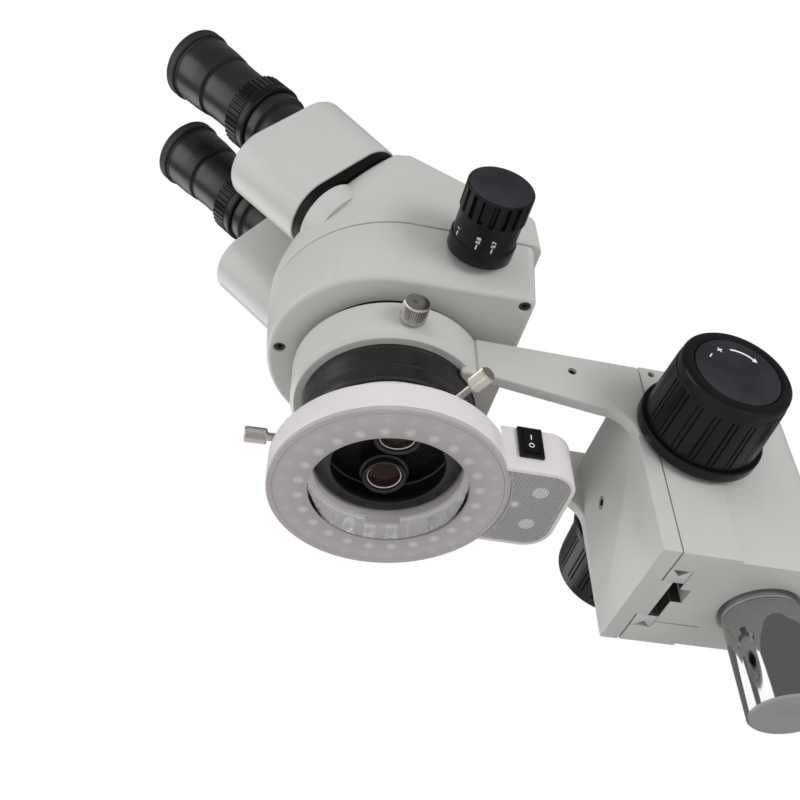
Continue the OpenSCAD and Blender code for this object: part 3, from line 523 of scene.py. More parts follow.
def cover_shell(inset, overhang):
    """The upper cover as a hull of rounded edges: seam, slanted face, sloping back and ridge."""
    circles = head_circles(HEAD_R, 0, HEAD_R + 0.6, HEAD_BACK + overhang)
    seam_round = 0.7 if inset == 0 else 0.2
    edge_round = 3.2 if inset == 0 else 1.0
    ridge_round = RIDGE_ROUND if inset == 0 else 2.5
    seam = SEAM + 0.8 if inset == 0 else SEAM - 4
    ridge_inset = inset + ridge_round
    ridge_y = (RIDGE_Z + (-ridge_inset + REAR_NORMAL.y * RIDGE_Y) / REAR_NORMAL.z
               - face_height(ridge_inset)) / (1 + REAR_NORMAL.y / REAR_NORMAL.z)
    ridge_z = ridge_y + face_height(ridge_inset)
    ridge = Vector((0, ridge_y, ridge_z))
    uphill = Vector((0, 1, 1)).normalized()
    downhill = Vector((0, REAR_NORMAL.z, -REAR_NORMAL.y))
    points = []
    for i in range(OUTLINE_STEPS):
        t = TURN * i / OUTLINE_STEPS
        wall = Vector((math.cos(t), math.sin(t), 0))
        flat = outline_at(circles, t, inset + seam_round)
        low = Vector((flat.x, flat.y, seam + seam_round))
        points += [low + way * seam_round for way in arc_between(wall, -UP, 3)]
        z = 90
        for _ in range(3):
            draft = COVER_DRAFT * (z - SEAM) / (COVER_TOP - SEAM)
            flat = outline_at(circles, t, inset + edge_round + draft)
            z, normal = cover_height(flat.y, inset + edge_round)
        high = Vector((flat.x, flat.y, z))
        past = (high - ridge).dot(uphill) > 0 if normal is FRONT_NORMAL else (high - ridge).dot(downhill) < 0
        if not past:
            points += [high + way * edge_round for way in arc_between(wall, normal, 6)]
    half = math.sqrt(HEAD_R ** 2 - ridge_y ** 2) - ridge_inset - COVER_DRAFT
    for side in (-1, 1):
        centre = Vector((side * half, ridge_y, ridge_z))
        for lean in (-9, -4, 0):
            wall = Vector((side * math.cos(math.radians(lean)), math.sin(math.radians(lean)), 0))
            for way in arc_between(FRONT_NORMAL, REAR_NORMAL, 8):
                points += [centre + out * ridge_round for out in arc_between(wall, way, 6)]
    return hull(points)


def make_head():
    lower = as_object("lower_housing_shell", lower_shell(0), HEAD)
    combine(lower, lower_shell(SHELL))
    combine(lower, cylinder(NECK_HOLE_R, HEAD_BOTTOM - 1, HEAD_BOTTOM + 6, 128))
    counterbore = rounded([(0, -5), (3.6, -5), (3.6, -0.9), (2.7, 0.4), (2.7, 3.8), (1.3, 3.8),
                           (1.3, 15), (0, 15)], 0.0)
    for x, y in COVER_SCREWS:
        combine(lower, place_bm(revolve(counterbore, 48), moved(x, y, HEAD_BOTTOM)))
    for side in (-1, 1):
        hole = place_bm(cylinder(3.4, 45, 60), turned(90 * side, "Y"))
        combine(lower, place_bm(hole, moved(*ZOOM_SHAFT_AT)))
    piece(lower, "head", "body_paint", ["lower_housing"])

    cover = as_object("upper_cover_shell", cover_shell(0, OVERHANG), HEAD)
    combine(cover, cover_shell(SHELL, 0))
    for side in (-1, 1):
        bearing = place_bm(cylinder(PIVOT_HOLE_R, -12, 10, 96), at_pivot(side, FACE_DIST))
        combine(cover, place_bm(bearing, turned(FACE_SLOPE, "X")))
    piece(cover, "head", "body_paint", ["upper_cover"])

    circles = head_circles(HEAD_R, 0, HEAD_R + 0.1, HEAD_BACK)
    gasket = as_object("seam_gasket", slab(circles, circles, SEAM - 1, SEAM + 1.4, 0.1, 0.1, 0.7), HEAD)
    combine(gasket, slab(circles, circles, SEAM - 3, SEAM + 3, 0.1, 0.1, SHELL - 0.3))
    piece(gasket, "head", "rubber")

    # Painted shade: a matt black collar round the neck stands for the deep shadow in the gap between the
    # holder ring and the head's underside.
    collar = [(38.1, 21.6), (39.1, 21.6), (39.1, HEAD_BOTTOM - GAP), (38.1, HEAD_BOTTOM - GAP)]
    piece(as_object("neck_shadow_collar", revolve(collar, 160), HEAD), "head", "black_paint", look="matt_black")

    boss = revolve([(BOSS_R, -12), (18.4, -12), (18.4, BOSS_TOP), (BOSS_R, BOSS_TOP)], 96)
    packing = revolve([(BOSS_R, BOSS_TOP), (18.2, BOSS_TOP), (18.2, -GAP), (BOSS_R, -GAP)], 96)
    for bm, name, slot, look in ((boss, "pivot_bosses", "body_paint", None),
                                 (packing, "pivot_packings", "black_paint", "matt_black")):
        pair = joined([place_bm(bm.copy(), at_pivot(side)) for side in (-1, 1)])
        bm.free()
        piece(as_object(name, pair, FACE), "head", slot, look=look)


# ---------------------------------------------------------------- barrel and objective

NECK_R = 37.95
BARREL_R = 37.5
NECK_BORE_R = 27


def make_barrel():
    profile = [(24, -33.8, 0.3), (29.2, -33.8, 0.6), (30, -32.8, 0.3), (30, -21.4, 0.6), (32.2, -19, 0.4),
               (36.6, -19, 0.8), (BARREL_R, -17.8, 0.5), (BARREL_R, -12.3, 0.2), (37.1, -12, 0.1),
               (37.1, -11.2, 0.1), (BARREL_R, -10.9, 0.2), (BARREL_R, -1.2, 0.2), (NECK_R, -0.8, 0.1),
               (NECK_R, HEAD_BOTTOM, 0.2), (30, HEAD_BOTTOM, 0), (30, 32.5, 0.3), (NECK_BORE_R, 32.5, 0.3),
               (NECK_BORE_R, 25.5, 0.3), (34, 22.5, 0.3), (34, -15.5, 0.5), (NECK_BORE_R, -15.5, 0.5),
               (NECK_BORE_R, -20, 0.1), (26.4, -20.4, 0.1), (26.4, -22, 0.1), (NECK_BORE_R, -22.4, 0.1),
               (NECK_BORE_R, -31.3, 0.3), (24, -31.3, 0.3)]
    barrel = as_object("neck_barrel_turned", revolve(rounded(profile), 160), HEAD)
    piece(barrel, "head", "black_paint", ["neck_barrel"])


def cell_frame(side):
    """Place in HEAD of one objective, tilted towards the other."""
    return moved(side * 12, 1, -30) @ turned(side * 6, "Y")


def in_both_cells(points):
    """The same turned shape in the left and in the right objective."""
    return joined([place_bm(revolve(points, 96), cell_frame(side)) for side in (-1, 1)])


def make_objective():
    cell = [(7.8, 0.5, 0.2), (8.6, 0, 0.2), (9.5, 0, 0.3), (9.5, 2.6, 0.2), (9.2, 2.8, 0.1), (10.7, 3, 0.2),
            (10.7, 4.5, 0.2), (9.5, 4.6, 0.2), (9.5, 12, 0.3), (7.8, 12, 0.3), (7.8, 6.1, 0.1),
            (7.5, 5.9, 0.1), (7.5, 1.6, 0.1)]
    plate = as_object("objective_cell_mounts", cylinder(26.9, -17.5, -15.1, 96), HEAD)
    for side in (-1, 1):
        combine(plate, place_bm(cylinder(7.8, -31, 0), moved(side * 13.5, 1, 0)))
    combine(plate, in_both_cells(rounded(cell)), "UNION")
    piece(plate, "head", "black_anodised", ["objective_cells"])

    dome = [(0, 1.1), (1.8, 1.16), (3.6, 1.35), (5.4, 1.68), (7.4, 2.2), (7.45, 2.4), (7.45, 6), (0, 6)]
    ring = [(6.9, 1.5, 0.15), (7.49, 1.3, 0.15), (7.49, 2.2, 0.1), (6.9, 2.2, 0.1)]
    piece(as_object("objective_glass", in_both_cells(dome), HEAD), "head", "coated_glass",
          ["objective_lenses"])
    rims = as_object("objective_retaining_rings", in_both_cells(rounded(ring)), HEAD)
    piece(rims, "head", "dark_steel", look="steel")


# ---------------------------------------------------------------- arm and focus block

ARM_TOP = 17.7
BLOCK_BOTTOM = -81.7
PLATE_FRONT = 99
PLATE_BACK = 107.5
PARTING = PLATE_BACK - 0.45
SHOULDER_R = 13
SHOULDER_STEPS = 20
ARM_SCREW_AT = (74.3, 7.7)
PLATE_SCREW_AT = (-9.3, -27.8)
SCREW_STAND = 0.3
SLOT_TOP = 18.6


def on_plate(out):
    """Place in HEAD of the set screw in the slide plate, some way out from the plate's front."""
    x, z = PLATE_SCREW_AT
    return moved(x, PLATE_FRONT + out, z) @ turned(90, "X")


def on_arm(x):
    """Place in HEAD of the set screw in the arm's wall."""
    return moved(x, *ARM_SCREW_AT) @ ALONG_X


def make_bracket():
    """Holder ring, two arm walls with curved shoulders, the web and the slide plate, in one casting."""
    arc_y = PLATE_FRONT - SHOULDER_R
    arc_z = -11.3 - SHOULDER_R
    shoulder = [(arc_y + SHOULDER_R * math.sin(t), arc_z + SHOULDER_R * math.cos(t))
                for t in (math.pi / 2 * i / SHOULDER_STEPS for i in range(SHOULDER_STEPS + 1))]
    wall = [(31, ARM_TOP), (31, -2.6), *shoulder, (PLATE_BACK - 1, arc_z), (PLATE_BACK - 1, ARM_TOP)]
    plate = [(PLATE_FRONT, BLOCK_BOTTOM), (PARTING, BLOCK_BOTTOM), (PARTING, ARM_TOP),
             (PARTING - 1.2, ARM_TOP), (PLATE_FRONT, 6.6)]
    ring = [(37, 0.4, 0.2), (41.5, 0, 0.5), (43.2, 2.5, 0.8), (43.2, 21, 1.2), (37, 21, 0.4)]
    bracket = as_object("slide_bracket_cast", revolve(rounded(ring, steps=4), 192), HEAD)
    for bm in (brick(-31.8, 24, -3, 31.8, 42.8, ARM_TOP, 1.2), plank(wall, -32.8, -27, 0.9),
               plank(wall, 27, 32.8, 0.9), plank(plate, -32.2, 32.2, 0.45),
               brick(-12.2, 106, BLOCK_BOTTOM, 12.2, 112.1, ARM_TOP, 0.3)):
        combine(bracket, bm, "UNION")
    bore = rounded([(0, -20), (38, -20), (38, 0.3), (38, 20.4), (38, 40), (0, 40)], 0.0)
    combine(bracket, revolve(bore, 192))
    combine(bracket, place_bm(cylinder(2.1, 30, 50, 48), moved(0, 0, LOCK_Z) @ ALONG_X))
    combine(bracket, place_bm(cylinder(2, 28.8, 40, 48), on_arm(0)))
    combine(bracket, place_bm(cylinder(3, -5, 1, 48), on_plate(0)))
    piece(bracket, "focus_slide", "body_paint", ["slide_bracket"])
    # Painted shade: a dark sheet at the back of the gap between the slide plate and the block stands for the
    # shadow in that gap.
    film = brick(-31.4, PARTING + GAP, BLOCK_BOTTOM + 0.8, 31.4, PLATE_BACK - GAP, ARM_TOP - 2.5)
    piece(as_object("parting_shadow_film", film, HEAD), "focus_slide", "rubber")


def socket_screw(r, depth, socket_r, socket_depth):
    """Set screw along local Z with its bevelled face at zero and a hexagon socket in it."""
    bevel = 0.35
    profile = [(0, -depth), (r, -depth), (r, -bevel, 0.1), (r - bevel, 0, 0.1), (0, 0)]
    screw = as_object("screw", revolve(rounded(profile, 0.0), 48))
    combine(screw, cylinder(socket_r, -socket_depth, 1, 6))
    return taken(screw)


def make_post():
    """The support post with a fine turned line round it."""
    lo, hi = (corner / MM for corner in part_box("support_post"))
    post_r, top = hi.x, hi.z
    line_z, line_depth = 42, 0.2
    profile = [(0, lo.z), (post_r - 0.8, lo.z, 0.3), (post_r, lo.z + 0.8, 0.3), (post_r, line_z, 0.1),
               (post_r - line_depth, line_z + 0.2, 0.1), (post_r - line_depth, line_z + 0.8, 0.1),
               (post_r, line_z + 1, 0.1), (post_r, top - 1.2, 0.3), (post_r - 1.2, top, 0.3), (0, top)]
    post = as_object("support_post_turned", revolve(rounded(profile), 160))
    piece(post, "stand", "chrome", ["support_post"])


def make_arm_and_block():
    make_bracket()
    block = as_object("focus_housing_cast", softened("focus_housing", 0.7))
    piece(block, "focus_block", "body_paint", ["focus_housing"])
    strips = as_object("slide_strips_ground", softened("slide_strips", 0.25))
    piece(strips, "focus_slide", "aluminium", ["slide_strips"])
    rails = as_object("slide_rails_ground", softened("slide_rails", 0.2))
    piece(rails, "focus_block", "steel", ["slide_rails"])
    make_post()
    arm_screw = place_bm(socket_screw(1.95, 3, 1.05, 1.6), on_arm(31.6))
    plate_screw = place_bm(socket_screw(2.95, 4, 1.5, 2.4), on_plate(SCREW_STAND))
    screws = as_object("bracket_set_screws", joined([arm_screw, plate_screw]), HEAD)
    piece(screws, "focus_slide", "dark_steel", ["bracket_screws"])
    rim = revolve([(1.75, -0.1), (2.5, -0.1), (2.5, 0.12), (1.75, 0.12)], 48)
    rim = place_bm(rim, on_plate(SCREW_STAND))
    piece(as_object("set_screw_rim", rim, HEAD), "focus_slide", "steel")
    # Painted shade: thin dark sheets along the walls and floor of the deep slot stand for the shadow inside
    # it.
    walls = ((-12.1, 116.72, -0.9, 116.78), (8.5, 116.72, 12.1, 116.78),
             (-0.78, 116.8, -0.72, 121.4), (8.12, 116.8, 8.18, 121.4))
    shadow_sheets = [brick(x0, y0, BLOCK_BOTTOM + 0.3, x1, y1, SLOT_TOP) for x0, y0, x1, y1 in walls]
    piece(as_object("slot_shadow_film", joined(shadow_sheets), HEAD), "focus_block", "rubber")


def make_clamp_knob():
    """Knob on the back of the block: its length and radius come from the frame."""
    lo, hi = (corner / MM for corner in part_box("post_clamp_knob"))
    length = hi.y - lo.y
    reach = (hi.x - lo.x) / 2
    profile = [(4, 0, 0.2), (9.6, 0, 0.6), (9.6, 4, 0.8), (reach, 4.3, 1.2), (reach, 5.6, 0), (reach, 6, 0),
               (reach, length - 3.4, 0), (reach, length - 3, 0), (reach - 0.2, length, 2.2),
               (11, length, 0.4), (10.6, length - 0.6, 0.2), (0, length - 0.6), (0, length - 4),
               (4, length - 4)]
    shape = grooves(18, 5.9, length - 3.2, 14, 1.1, [0.5], 0.14)
    place = Matrix.Translation(Vector(((lo.x + hi.x) / 2, lo.y, (lo.z + hi.z) / 2)) * MM) @ turned(-90, "X")
    knob = as_object("post_clamp_knob_moulded", revolve(rounded(profile), 360, shape), place)
    piece(knob, "post_clamp", "black_plastic", ["post_clamp_knob"])


# ---------------------------------------------------------------- knobs

LEFT_SHIFT = 1.6


def focus_knob():
    """Flange, grip with broad flats between pairs of grooves, and a smooth rounded end."""
    profile = [(4, 34, 0.1), (27.2, 34, 0.7), (27.2, 39, 0.7), (25.9, 39, 0.3), (25.9, 38.4, 0.1),
               (25.2, 38.4, 0.1), (25.15, 40.2, 0), (25.13, 40.6, 0), (24.0, 64.2, 0), (23.98, 64.6, 0),
               (23.9, 65.6, 0.3), (23.5, 66, 0.2), (23.4, 71.4, 2.6), (19.2, 71.4, 0.5), (18.6, 70.9, 0.2),
               (18.3, 70.2, 0.1), (0, 70.2), (0, 59.4), (4, 59.4)]
    shape = grooves(20, 40.4, 64.4, 23.5, 0.75, [0.36, 0.64], 0.045)
    return revolve(rounded(profile), 960, shape)


def dial_point(r, degrees):
    """A point on the knob's end, its angle counted from +Y towards +Z."""
    a = math.radians(degrees)
    return Vector((-r * math.sin(a), r * math.cos(a)))


def tension_marks():
    """A curved arrow with a plus and a minus sign."""
    r, half, z0, z1 = 12.4, 0.42, 71.15, 71.28
    start, end, steps = 92, 44, 24
    outer = [dial_point(r + half, start + (end - start) * i / steps) for i in range(steps + 1)]
    inner = [dial_point(r - half, end + (start - end) * i / steps) for i in range(steps + 1)]
    head = [dial_point(r + 1.35, end), dial_point(r, end - 9), dial_point(r - 1.35, end)]
    parts = [tile(outer + head + inner, z0, z1)]

    def bar(degrees, length, width):
        middle = dial_point(r, degrees)
        along = dial_point(1, degrees - 90)
        across = dial_point(1, degrees)
        corners = [(1, 1), (-1, 1), (-1, -1), (1, -1)]
        return [middle + along * (sx * length / 2) + across * (sy * width / 2) for sx, sy in corners]

    minus_at, plus_at, stroke, thick = 146, 116, 2.6, 0.5
    parts.append(tile(bar(minus_at, stroke, thick), z0, z1))
    parts.append(tile(bar(plus_at, stroke, thick), z0, z1))
    parts.append(tile(bar(plus_at, thick, stroke), z0 + 0.02, z1 + 0.01))
    return joined(parts)


def make_focus_knobs():
    left = FOCUS @ MIRROR_Z @ moved(0, 0, LEFT_SHIFT)
    for side, place in (("right", FOCUS), ("left", left)):
        knob = as_object(f"focus_knob_{side}_moulded", place_bm(focus_knob(), place))
        piece(knob, "focus_drive", "black_plastic", [f"focus_knob_{side}"])
    disc = rounded([(0, 70.25), (18.15, 70.25, 0.1), (18.15, 71.15, 0.25), (0, 71.15)])
    discs = joined([place_bm(revolve(disc, 128), place) for place in (FOCUS, left)])
    piece(as_object("knob_disc_films", discs), "focus_drive", "disc_film", ["knob_discs"])
    marks = joined([place_bm(tension_marks(), place) for place in (FOCUS, left)])
    piece(as_object("knob_disc_marks", marks), "focus_drive", "white_plastic", look="marking")


BAND_R = 14.0
GRIP_R = 14.7
ZOOM_HOLLOWS = 18
HOLLOW_R = 13.1
ZOOM_SCALE = {"0.7": 6, "0.8": -22, "1": -68, "1.5": -108, "2": -146, "3": -190, "4": -228, "4.5": -254}


def zoom_knob():
    """A drum for the scale between two rims, and a grip of wide hollows between ribs."""
    profile = [(3, 57.8, 0.1), (GRIP_R, 57.8, 0.5), (GRIP_R, 65.2, 0.3), (BAND_R, 65.6, 0.2),
               (BAND_R, 77.6, 0.3), (GRIP_R, 78.1, 0.15), (GRIP_R, 78.6, 0), (GRIP_R, 79, 0),
               (GRIP_R, 89.3, 0), (GRIP_R, 89.5, 0), (GRIP_R - 0.1, 90.1, 0.2), (14.3, 90.5, 0.1),
               (14.2, 90.3, 0.05), (0, 90.3), (0, 82.5), (3, 82.5)]

    def shape(r, z, a):
        if z < 78.8 or z > 89.4 or r < 12.9:
            return r
        place = (a / TURN * ZOOM_HOLLOWS) % 1
        gap = abs(place - 0.5) / 0.2
        return min(r, HOLLOW_R + 1.6 * max(0, gap ** 4 - 0.35)) if gap < 1.2 else r
    return revolve(rounded(profile), 540, shape)


def wrapped_text(words, size, r, height, angle):
    """Raised numerals bent round a drum: they read along +Z, with their tops against the turn."""
    curve = bpy.data.curves.new("numeral", "FONT")
    curve.body = words
    curve.size = size
    curve.align_x = "LEFT"
    curve.extrude = 0.04
    curve.offset = 0.03
    holder = bpy.data.objects.new("numeral", curve)
    bpy.context.scene.collection.objects.link(holder)
    bpy.context.view_layer.update()
    graph = bpy.context.evaluated_depsgraph_get()
    mesh = bpy.data.meshes.new_from_object(holder.evaluated_get(graph))
    bm = bmesh.new()
    bm.from_mesh(mesh)
    bpy.data.objects.remove(holder)
    bpy.data.meshes.remove(mesh)
    bmesh.ops.remove_doubles(bm, verts=bm.verts, dist=1e-4)
    for vert in bm.verts:
        a = math.radians(angle) - (vert.co.y - 0.35 * size) / r
        reach = r + 0.04 + vert.co.z
        vert.co = (reach * math.cos(a), reach * math.sin(a), height + vert.co.x)
    return bm


def drum_tick(r, z0, z1, angle, width):
    tick = brick(r - 0.03, -width / 2, z0, r + 0.08, width / 2, z1)
    return place_bm(tick, turned(angle, "Z"))


def make_zoom_knobs():
    for side, place, flip, start in (("right", ZOOM, ZOOM, 0),
                                     ("left", ZOOM @ MIRROR_Z, ZOOM @ turned(180, "X"), -180)):
        knob = as_object(f"zoom_knob_{side}_moulded", place_bm(zoom_knob(), place))
        piece(knob, "zoom_drive", "black_plastic", [f"zoom_knob_{side}"])
        cap = rounded([(0, 90.32), (14.1, 90.32, 0.05), (14.1, 90.48, 0.05), (0, 90.48)])
        film = place_bm(revolve(cap, 96), place)
        piece(as_object(f"zoom_cap_{side}", film), "zoom_drive", "disc_film")
        parts = []
        for words, angle in ZOOM_SCALE.items():
            parts += [wrapped_text(words, 2.7, BAND_R, 69.3, start + angle),
                      drum_tick(BAND_R, 66.4, 68.6, start + angle, 0.5)]
        marks = place_bm(joined(parts), flip)
        piece(as_object(f"zoom_scale_{side}", marks), "zoom_drive", "white_plastic", look="marking")


def knurled_screw(shank_r, shank_start, head_r, head_start, head_end, ribs):
    """Thumbscrew along local Z: a shank and a straight-knurled head with a bevelled rim."""
    profile = [(0, shank_start), (shank_r - 0.4, shank_start, 0.1), (shank_r, shank_start + 0.4, 0.1),
               (shank_r, head_start, 0.2), (head_r - 0.5, head_start, 0.2),
               (head_r, head_start + 0.6, 0), (head_r, head_start + 0.7, 0),
               (head_r, head_end - 0.9, 0), (head_r, head_end - 0.8, 0),
               (head_r - 0.6, head_end, 0.25), (0, head_end)]

    def shape(r, z, a):
        if r < head_r - 0.3 or z < head_start + 0.65:
            return r
        return r - 0.32 * (0.5 + 0.5 * math.cos(a * ribs))
    return revolve(rounded(profile), ribs * 8, shape)


def make_thumbscrews():
    along_x = HEAD @ moved(0, 0, LOCK_Z) @ ALONG_X
    lock = as_object("head_lock_screw_knurled", knurled_screw(2, 38.05, 5.75, 44.2, 53.2, 36), along_x)
    piece(lock, "head_lock", "nickel", ["head_lock_screw"])
    for letter in "abc":
        screw = as_object(f"light_screw_{letter}_knurled", knurled_screw(1.75, 30.1, 3.4, 51, 60.5, 26),
                          HEAD @ clamp_frame(letter))
        piece(screw, f"light_clamp_{letter}", "nickel", [f"light_screw_{letter}"])


# ---------------------------------------------------------------- prism housings and eyepieces

DIOPTRE_RIBS = 42
RIB_DEPTH = 0.75


def pear_circles(side, top_u):
    """Outline of a prism housing in FACE: narrow round the pivot, broad round the eyetube."""
    pivot_r, middle, half_w, corner_r = 18.8, 28.8, 27.5, 21.5
    corners = [(side * middle + way * (half_w - corner_r), top_u - corner_r, corner_r) for way in (1, -1)]
    return [(side * PIVOT_X, PIVOT_U, pivot_r), *corners]


def make_prism_housing(side, name):
    low = pear_circles(side, 85.5)
    high = pear_circles(side, 89)
    shell = as_object(f"prism_housing_{name}_shell", slab(low, high, 4, 50, 0.5, 3.4, steps=7), FACE)
    combine(shell, slab(low, high, 2, 47, 0.3, 1.5, 2.5))
    combine(shell, place_bm(cylinder(16.1, 40, 52, 128), moved(side * EYE_HALF, EYE_U, 0)))
    piece(shell, f"{name}_eye", "body_paint", [f"prism_housing_{name}"])

    plate = as_object(f"pivot_flange_{name}_cast", slab(low, low, 0.05, 3.95, 0.2, 0.2, 0.9), FACE)
    hub = revolve(rounded([(10, -7), (14, -7, 0.3), (14, -5.6, 0.1), (15.5, -5.4, 0.1), (15.5, -4.1, 0.1),
                           (14, -4, 0.1), (14, 1), (10, 1)]), 96)
    combine(plate, place_bm(hub, at_pivot(side)), "UNION")
    combine(plate, place_bm(cylinder(10, -9, 9), at_pivot(side)))
    piece(plate, f"{name}_eye", "black_paint", [f"pivot_flange_{name}"], "matt_black")


def make_eyepiece(side, name):
    place = eye_frame(side)

    def lathe(kind, ending, points, body, slot, steps=128, shape=None):
        """A turned piece of this eyepiece in place of the CAD node of its kind."""
        bm = revolve(rounded(points), steps, shape)
        piece(as_object(f"{kind}_{name}_{ending}", bm, place), body, slot, [f"{kind}_{name}"])

    tube = [(15.05, 45), (16, 45), (16, 50, 0.1), (16, 68.6, 0.3), (18.3, 69, 0.5), (18.3, 74.9, 0.5),
            (16.02, 75, 0.1), (16, 88, 0.2), (15.05, 88, 0.2)]
    lathe("eyetube", "turned", tube, f"{name}_eye", "black_anodised")

    ring = [(16.1, 75.2, 0.1), (19.3, 75.2, 0.4), (20, 75.9, 0.3), (20, 79, 0.2), (19.6, 79.3, 0.1),
            (19.6, 79.9, 0.1), (20, 80.2, 0.1), (20, 80.5, 0), (20, 88.3, 0), (20, 88.5, 0),
            (17.4, 90.9, 0.3), (16.1, 90.9, 0.1)]

    def ribs(r, z, a):
        if z < 80.4 or r < 17.6:
            return r
        wave = math.cos(a * DIOPTRE_RIBS)
        return r - RIB_DEPTH * max(0, min(1, 0.5 - 1.6 * wave))
    lathe("dioptre_ring", "ribbed", ring, f"{name}_dioptre", "black_plastic", DIOPTRE_RIBS * 12, ribs)

    body = [(13, 60, 0.2), (15, 60, 0.3), (15, 88.1, 0.1), (15.9, 88.1, 0.1), (15.9, 91.2, 0.1),
            (16.6, 91.2, 0.1), (16.6, 104, 0.5), (16.9, 110, 0.3), (15.8, 110.6, 0.2), (15.8, 112.4, 0.2),
            (17.5, 113, 0.3), (18.2, 120, 0.5), (18.4, 130, 0.2), (17.8, 130.4, 0.1), (17.8, 131.6, 0.1),
            (18.4, 132, 0.2), (18.4, 133, 0.1), (16.5, 133, 0.1), (16.5, 137, 0.1), (13, 137, 0.2)]
    lathe("eyepiece", "turned", body, f"{name}_eye", "black_anodised")

    cup = [(16.55, 133.1, 0.1), (19.1, 133.1, 0.4), (19.6, 133.8, 0.4), (19.3, 136, 0.8), (19.6, 138, 0.6),
           (18.6, 139, 0.6), (16, 139, 0.6), (14.5, 138, 0.4), (14.5, 137.1, 0.2), (16.55, 137.1, 0.1)]
    lathe("eyecup", "moulded", cup, f"{name}_eye", "rubber")

    eye_lens = [(0, 135.6), (4, 135.4), (8, 134.9), (11, 134.3), (12.95, 133.7), (12.95, 131), (0, 131)]
    field_lens = [(0, 64), (12.95, 64.9), (12.95, 67), (0, 68)]
    glass = joined([revolve(eye_lens, 96), revolve(field_lens, 96)])
    piece(as_object(f"eyepiece_glass_{name}", glass, place), f"{name}_eye", "coated_glass",
          [f"eyepiece_lenses_{name}"])


# ---------------------------------------------------------------- ring light

LIGHT_R = 49.7
BORE_R = 31.4
FRONT = -47.5
BOX = (-22.5, 30, 26.4, 74.4)
BOX_CORNER = 12
BOX_TOP = -24
SWITCH_Y = 52.9
SWITCH_Z = -33.3


def box_circles():
    x0, y0, x1, y1 = BOX
    return [(x, y, BOX_CORNER) for x in (x0 + BOX_CORNER, x1 - BOX_CORNER)
            for y in (y0 + BOX_CORNER, y1 - BOX_CORNER)]


def make_light_housing():
    circles = box_circles()
    box = as_object("light_housing_shell", slab(circles, circles, FRONT, BOX_TOP, 0.9, 2.4), HEAD)
    combine(box, cylinder(LIGHT_R - 0.9, -60, 0, 160))
    cavity = as_object("cavity", slab(circles, circles, FRONT - 3, BOX_TOP - 2, 0.2, 1, 2), HEAD)
    combine(cavity, cylinder(LIGHT_R - 0.6, -60, 0, 160))
    combine(box, taken(cavity))
    ring = [(BORE_R, -36.5, 0.3), (BORE_R + 1.6, -36.5, 0.3), (BORE_R + 1.6, -34.4, 0.3), (48.1, -34.4, 0.3),
            (48.1, -45.9, 0.1), (LIGHT_R, -45.9, 0.1), (LIGHT_R, -32.4, 2.2), (37, -32.4, 0.8),
            (37, -20, 0.9), (BORE_R, -20, 0.6)]
    combine(box, revolve(rounded(ring, steps=4), 160), "UNION")
    combine(box, brick(22, SWITCH_Y - 4.3, SWITCH_Z - 6.85, 30, SWITCH_Y + 4.3, SWITCH_Z + 6.85))
    inlet = place_bm(cylinder(4.05, -4, 6), turned(-90, "X"))
    combine(box, place_bm(inlet, moved(2, BOX[3], -36)))
    for letter in "abc":
        combine(box, place_bm(cylinder(1.9, 28, 42, 32), clamp_frame(letter)))
    piece(box, "ring_light", "white_plastic", ["light_housing"])

    start, span, steps = 158, 26, 12
    angles = [math.radians(start + span * i / steps) for i in range(steps + 1)]
    tab = [Vector((math.cos(a), math.sin(a))) for a in angles]
    outline = [v * (BORE_R + 1.5) for v in tab] + [v * (BORE_R + 0.02) for v in reversed(tab)]
    piece(as_object("board_catch", tile(outline, -39.4, -36.45), HEAD), "ring_light", "white_plastic")

    inner, outer = BORE_R + 1.55, BORE_R + 2.2
    wall = rounded([(inner, -46.4, 0.2), (outer, -46.4, 0.2), (outer, -36.6, 0.1), (inner, -36.6, 0.1)])
    piece(as_object("light_inner_wall", revolve(wall, 160), HEAD), "ring_light", "clear_plastic")


# Metres on the frosted face: diode rows of painted light as (diodes, radius, strength), and the painted
# shade at its inner rim.
DIODE_ROWS = ((24, 0.037, 0.5), (28, 0.0435, 0.15))
DIODE_SPOT = 0.0026
SHADE_START = 0.033
SHADE_WIDTH = 0.009


